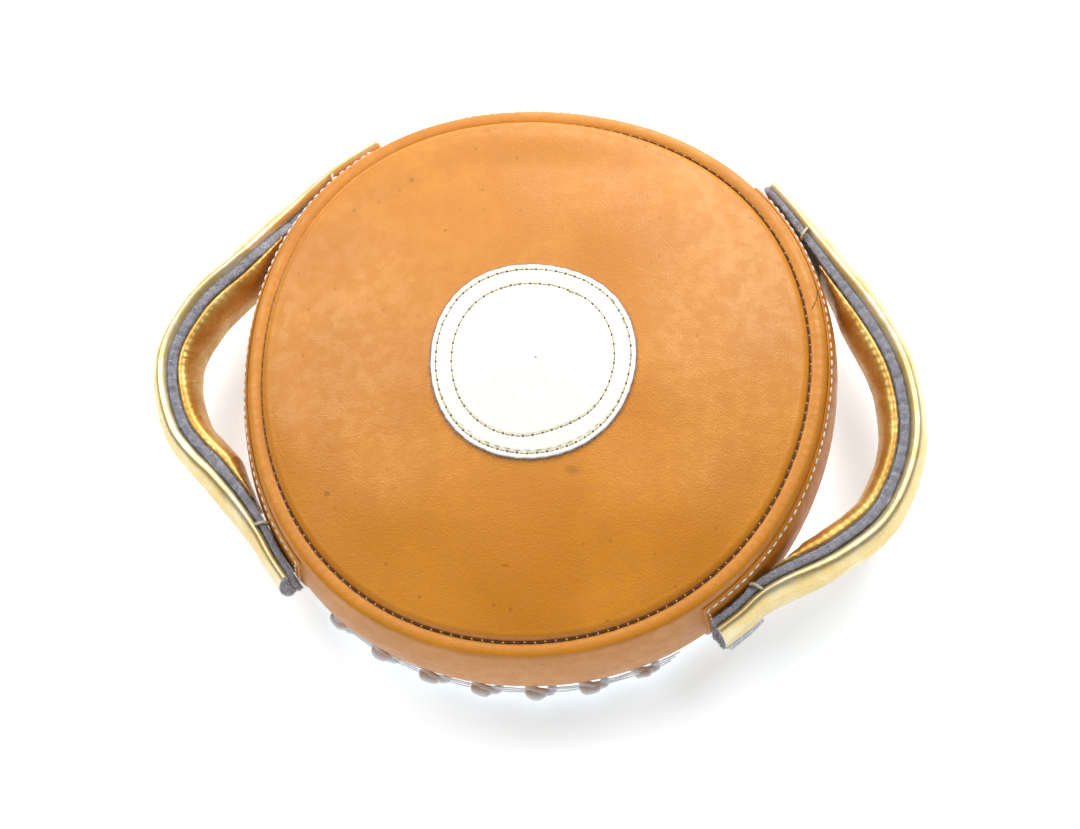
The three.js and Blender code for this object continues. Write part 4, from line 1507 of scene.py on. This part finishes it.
def soft_light(name, place, target, width, depth, energy, colour):
    """A large soft box aimed at a point."""
    data = bpy.data.lights.new(name, "AREA")
    data.shape = "RECTANGLE"
    data.size, data.size_y = width, depth
    data.energy = energy
    data.color = colour
    light = bpy.data.objects.new(name, data)
    bpy.context.scene.collection.objects.link(light)
    light.matrix_world = look_matrix(place, target, 0)


def build_stage(stage):
    """The pale floor, the soft lights and the camera."""
    size = stage.floor_size / 2
    mesh = bpy.data.meshes.new("floor")
    corners = [(-size, -size, 0), (size, -size, 0), (size, size, 0), (-size, size, 0)]
    mesh.from_pydata(corners, [], [(0, 1, 2, 3)])
    mesh.materials.append(finish("floor_paper"))
    floor = bpy.data.objects.new("floor", mesh)
    bpy.context.scene.collection.objects.link(floor)

    world = bpy.data.worlds.new("studio")
    world.use_nodes = True
    sky = world.node_tree.nodes["Background"]
    sky.inputs["Color"].default_value = (*stage.sky_colour, 1)
    sky.inputs["Strength"].default_value = stage.sky
    bpy.context.scene.world = world
    middle = (0, 0, 0.08)
    soft_light("far_box", (0.1, 1.87, 1.15), middle, 1.8, 0.6, stage.far, (1, 0.985, 0.96))
    soft_light("near_box", (-0.1, -1.9, 0.5), middle, 1.6, 0.6, stage.near, (1, 0.98, 0.95))
    soft_light("left_box", (-1.03, 0.6, 1.6), middle, 0.7, 0.9, stage.left, (1, 0.99, 0.98))
    soft_light("right_box", (0.7, 1.0, 1.66), middle, 0.8, 0.9, stage.right, (1, 0.99, 0.98))

    data = bpy.data.cameras.new("camera")
    data.lens = stage.lens
    data.sensor_width = 36
    data.clip_end = 20
    camera = bpy.data.objects.new("camera", data)
    bpy.context.scene.collection.objects.link(camera)
    camera.matrix_world = look_matrix(stage.camera_place, stage.camera_target, stage.camera_roll)
    bpy.context.scene.camera = camera
    bpy.context.scene.view_settings.view_transform = "Standard"


# Settings, operators and the panel

def colour_property(name, description, value):
    """A linear colour setting."""
    return FloatVectorProperty(
        name=name, description=description, subtype="COLOR", size=3, default=value, min=0, max=1
    )


def length_property(name, description, value):
    """A length setting in metres."""
    return FloatProperty(name=name, description=description, default=value, min=0, unit="LENGTH", precision=5)


def power_property(name, description, value):
    """A light's power in watts."""
    return FloatProperty(name=name, description=description, default=value, min=0, unit="POWER")


def fibre_property(value):
    """How thickly loose fibres stand on the raw edges."""
    description = "Loose fibres on each square millimetre"
    return FloatProperty(name="Fibres", description=description, default=value, min=0)


class StrikingPadColours(bpy.types.PropertyGroup):
    """Colours of the leathers and threads"""

    tan: colour_property("Tan", "Light tone of the tan leather", (0.72, 0.275, 0.012))
    deep_tan: colour_property("Deep Tan", "Deep tone of the tan leather", (0.60, 0.205, 0.005))
    gold: colour_property("Gold", "Light tone of the gold straps", (0.96, 0.86, 0.58))
    deep_gold: colour_property("Deep Gold", "Deep on the straps, light on the grips", (0.84, 0.60, 0.20))
    # The grips' deep tone: painted shade and painted reflection of the tan wall on the straps' gold leather.
    grip_shade_gold: colour_property("Brown Gold", "Deep tone of the grips", (0.55, 0.27, 0.04))
    pale_gold: colour_property("Pale Gold", "The target", (0.98, 0.96, 0.88))
    silver: colour_property("Silver", "The back, the far patch and the laced edge", (0.90, 0.92, 0.95))
    raw: colour_property("Raw Edge", "Cut leather edges", (0.46, 0.46, 0.54))
    white: colour_property("White Thread", "The patch stitching, but not the lace", (0.90, 0.92, 0.96))
    thread_gold: colour_property("Gold Thread", "The target's stitches", (0.62, 0.55, 0.22))
    thread_beige: colour_property("Beige Thread", "Knots and bar tacks", (0.66, 0.58, 0.42))
    # Very dark, for the painted shade in the face seam's gap as well as its thread; also the loose hair.
    thread_brown: colour_property("Brown Thread", "The face seam", (0.11, 0.032, 0.010))
    # Painted shade in the needle holes and in the far patch's crease.
    hole: colour_property("Needle Hole", "The dark of a needle hole", (0.17, 0.15, 0.08))
    floor: colour_property("Floor", "The pale floor", (0.97, 0.98, 1.0))
    floor_glow: colour_property("Floor Glow", "Light that comes up through the floor", (0.88, 0.97, 1.0))


class StrikingPadStitching(bpy.types.PropertyGroup):
    """Sizes of the stitches"""

    seam_spacing: length_property("Seam Spacing", "From stitch to stitch along the face seam", 0.0063)
    seam_length: length_property("Seam Stitch", "Length of a stitch of the face seam", 0.0056)
    patch_spacing: length_property("Patch Spacing", "From stitch to stitch round a wall patch", 0.0058)
    patch_length: length_property("Patch Stitch", "Length of a stitch round a wall patch", 0.0040)
    target_spacing: length_property("Target Spacing", "From stitch to stitch on the target", 0.0061)
    target_length: length_property("Target Stitch", "Length of a stitch on the target", 0.0038)
    thread_radius: length_property("Thread Radius", "Half the thickness of the sewing thread", 0.0005)
    fibres: fibre_property(1.1)


class StrikingPadHandles(bpy.types.PropertyGroup):
    """Relief of the handles"""

    dents: length_property("Strap Dents", "Depth of the soft dents in the straps", 0.0004)
    wrinkles: length_property("Grip Wrinkles", "Depth of the wrinkles across the grips", 0.0007)
    fibres: fibre_property(1.3)


class StrikingPadStage(bpy.types.PropertyGroup):
    """The floor, the lights and the camera"""

    floor_size: length_property("Floor Size", "Side of the square floor", 12.0)
    far: power_property("Far Light", "Power of the far soft box", 31)
    near: power_property("Near Light", "Power of the near soft box", 9)
    left: power_property("Left Light", "Power of the left soft box", 16)
    right: power_property("Right Light", "Power of the right soft box", 19)
    sky: FloatProperty(name="Sky", description="Strength of the even light", default=0.14, min=0)
    sky_colour: colour_property("Sky Colour", "Colour of the even light", (0.93, 0.965, 1.0))
    lens: FloatProperty(name="Lens", description="Focal length in millimetres", default=56.6, min=10)
    camera_place: FloatVectorProperty(
        name="Camera Place", description="Where the camera stands", subtype="TRANSLATION", unit="LENGTH",
        default=(0.13048, -0.32012, 1.07956),
    )
    camera_target: FloatVectorProperty(
        name="Camera Target", description="The point in the middle of the view", subtype="TRANSLATION",
        unit="LENGTH", default=(0.00319, -0.01283, 0.030),
    )
    camera_roll: FloatProperty(
        name="Camera Roll", description="Turn about the line of sight", unit="ROTATION",
        default=math.radians(-15.15),
    )


class StrikingPadSettings(bpy.types.PropertyGroup):
    """All settings of the striking pad"""

    colours: PointerProperty(type=StrikingPadColours, name="Colours", description="Colours of the finishes")
    stitching: PointerProperty(type=StrikingPadStitching, name="Stitching", description="Stitch sizes")
    handles: PointerProperty(type=StrikingPadHandles, name="Handles", description="Relief of the handles")
    stage: PointerProperty(type=StrikingPadStage, name="Stage", description="Floor, lights and camera")


class STRIKINGPAD_OT_finishes(bpy.types.Operator):
    """Make the node groups and the materials"""

    bl_idname = "striking_pad.finishes"
    bl_label = "Make Finishes"

    def execute(self, context):
        make_finishes(context.scene.striking_pad.colours)
        return {"FINISHED"}


class STRIKINGPAD_OT_stage(bpy.types.Operator):
    """Set the floor, the lights and the camera"""

    bl_idname = "striking_pad.stage"
    bl_label = "Set Stage"

    def execute(self, context):
        build_stage(context.scene.striking_pad.stage)
        return {"FINISHED"}


class STRIKINGPAD_OT_face(bpy.types.Operator):
    """Build the stuffed face and the target on it"""

    bl_idname = "striking_pad.face"
    bl_label = "Build Face"

    def execute(self, context):
        stitching = context.scene.striking_pad.stitching
        build_face(stitching)
        build_target(stitching)
        return {"FINISHED"}


class STRIKINGPAD_OT_body(bpy.types.Operator):
    """Build the side band, the face seam, the back and the loose hair"""

    bl_idname = "striking_pad.body"
    bl_label = "Build Body"

    def execute(self, context):
        stitching = context.scene.striking_pad.stitching
        build_wall(stitching)
        build_back(stitching)
        build_hair()
        return {"FINISHED"}


class STRIKINGPAD_OT_patches(bpy.types.Operator):
    """Build the wall patches and their stitching"""

    bl_idname = "striking_pad.patches"
    bl_label = "Build Patches"

    def execute(self, context):
        build_patches(context.scene.striking_pad.stitching)
        return {"FINISHED"}


class STRIKINGPAD_OT_laced_edge(bpy.types.Operator):
    """Build the lace and the plies it gathers"""

    bl_idname = "striking_pad.laced_edge"
    bl_label = "Build Laced Edge"

    def execute(self, context):
        build_lace()
        build_lacing_strip()
        return {"FINISHED"}


class STRIKINGPAD_OT_handles(bpy.types.Operator):
    """Build both handles with their straps, raw seams, grips and bar tacks"""

    bl_idname = "striking_pad.handles"
    bl_label = "Build Handles"

    def execute(self, context):
        handles = context.scene.striking_pad.handles
        for side in SIDE_NAMES:
            build_strap(side, handles)
            build_seam_layer(side, handles)
            build_grip(side, handles)
        build_bar_tacks()
        build_tab_edge()
        return {"FINISHED"}


class STRIKINGPAD_PT_panel(bpy.types.Panel):
    """The striking pad's settings and build steps"""

    bl_idname = "STRIKINGPAD_PT_panel"
    bl_label = "Striking Pad"
    bl_space_type = "VIEW_3D"
    bl_region_type = "UI"
    bl_category = "Striking Pad"

    def draw(self, context):
        settings = context.scene.striking_pad
        for group_of in (settings.colours, settings.stitching, settings.handles, settings.stage):
            box = self.layout.box()
            for name in group_of.__annotations__:
                box.prop(group_of, name)
        for operator in OPERATORS:
            self.layout.operator(operator.bl_idname)


OPERATORS = (
    STRIKINGPAD_OT_finishes,
    STRIKINGPAD_OT_stage,
    STRIKINGPAD_OT_face,
    STRIKINGPAD_OT_body,
    STRIKINGPAD_OT_patches,
    STRIKINGPAD_OT_laced_edge,
    STRIKINGPAD_OT_handles,
)
CLASSES = (
    StrikingPadColours,
    StrikingPadStitching,
    StrikingPadHandles,
    StrikingPadStage,
    StrikingPadSettings,
    *OPERATORS,
    STRIKINGPAD_PT_panel,
)


def register():
    """Registers the settings, the operators and the panel."""
    for cls in CLASSES:
        bpy.utils.register_class(cls)
    bpy.types.Scene.striking_pad = PointerProperty(type=StrikingPadSettings)


def unregister():
    """Takes away what register() added."""
    del bpy.types.Scene.striking_pad
    for cls in reversed(CLASSES):
        bpy.utils.unregister_class(cls)


def main():
    """Builds everything in order."""
    register()
    bpy.ops.striking_pad.finishes()
    bpy.ops.striking_pad.stage()
    bpy.ops.striking_pad.face()
    bpy.ops.striking_pad.body()
    bpy.ops.striking_pad.patches()
    bpy.ops.striking_pad.laced_edge()
    bpy.ops.striking_pad.handles()


if __name__ == "__main__":
    main()
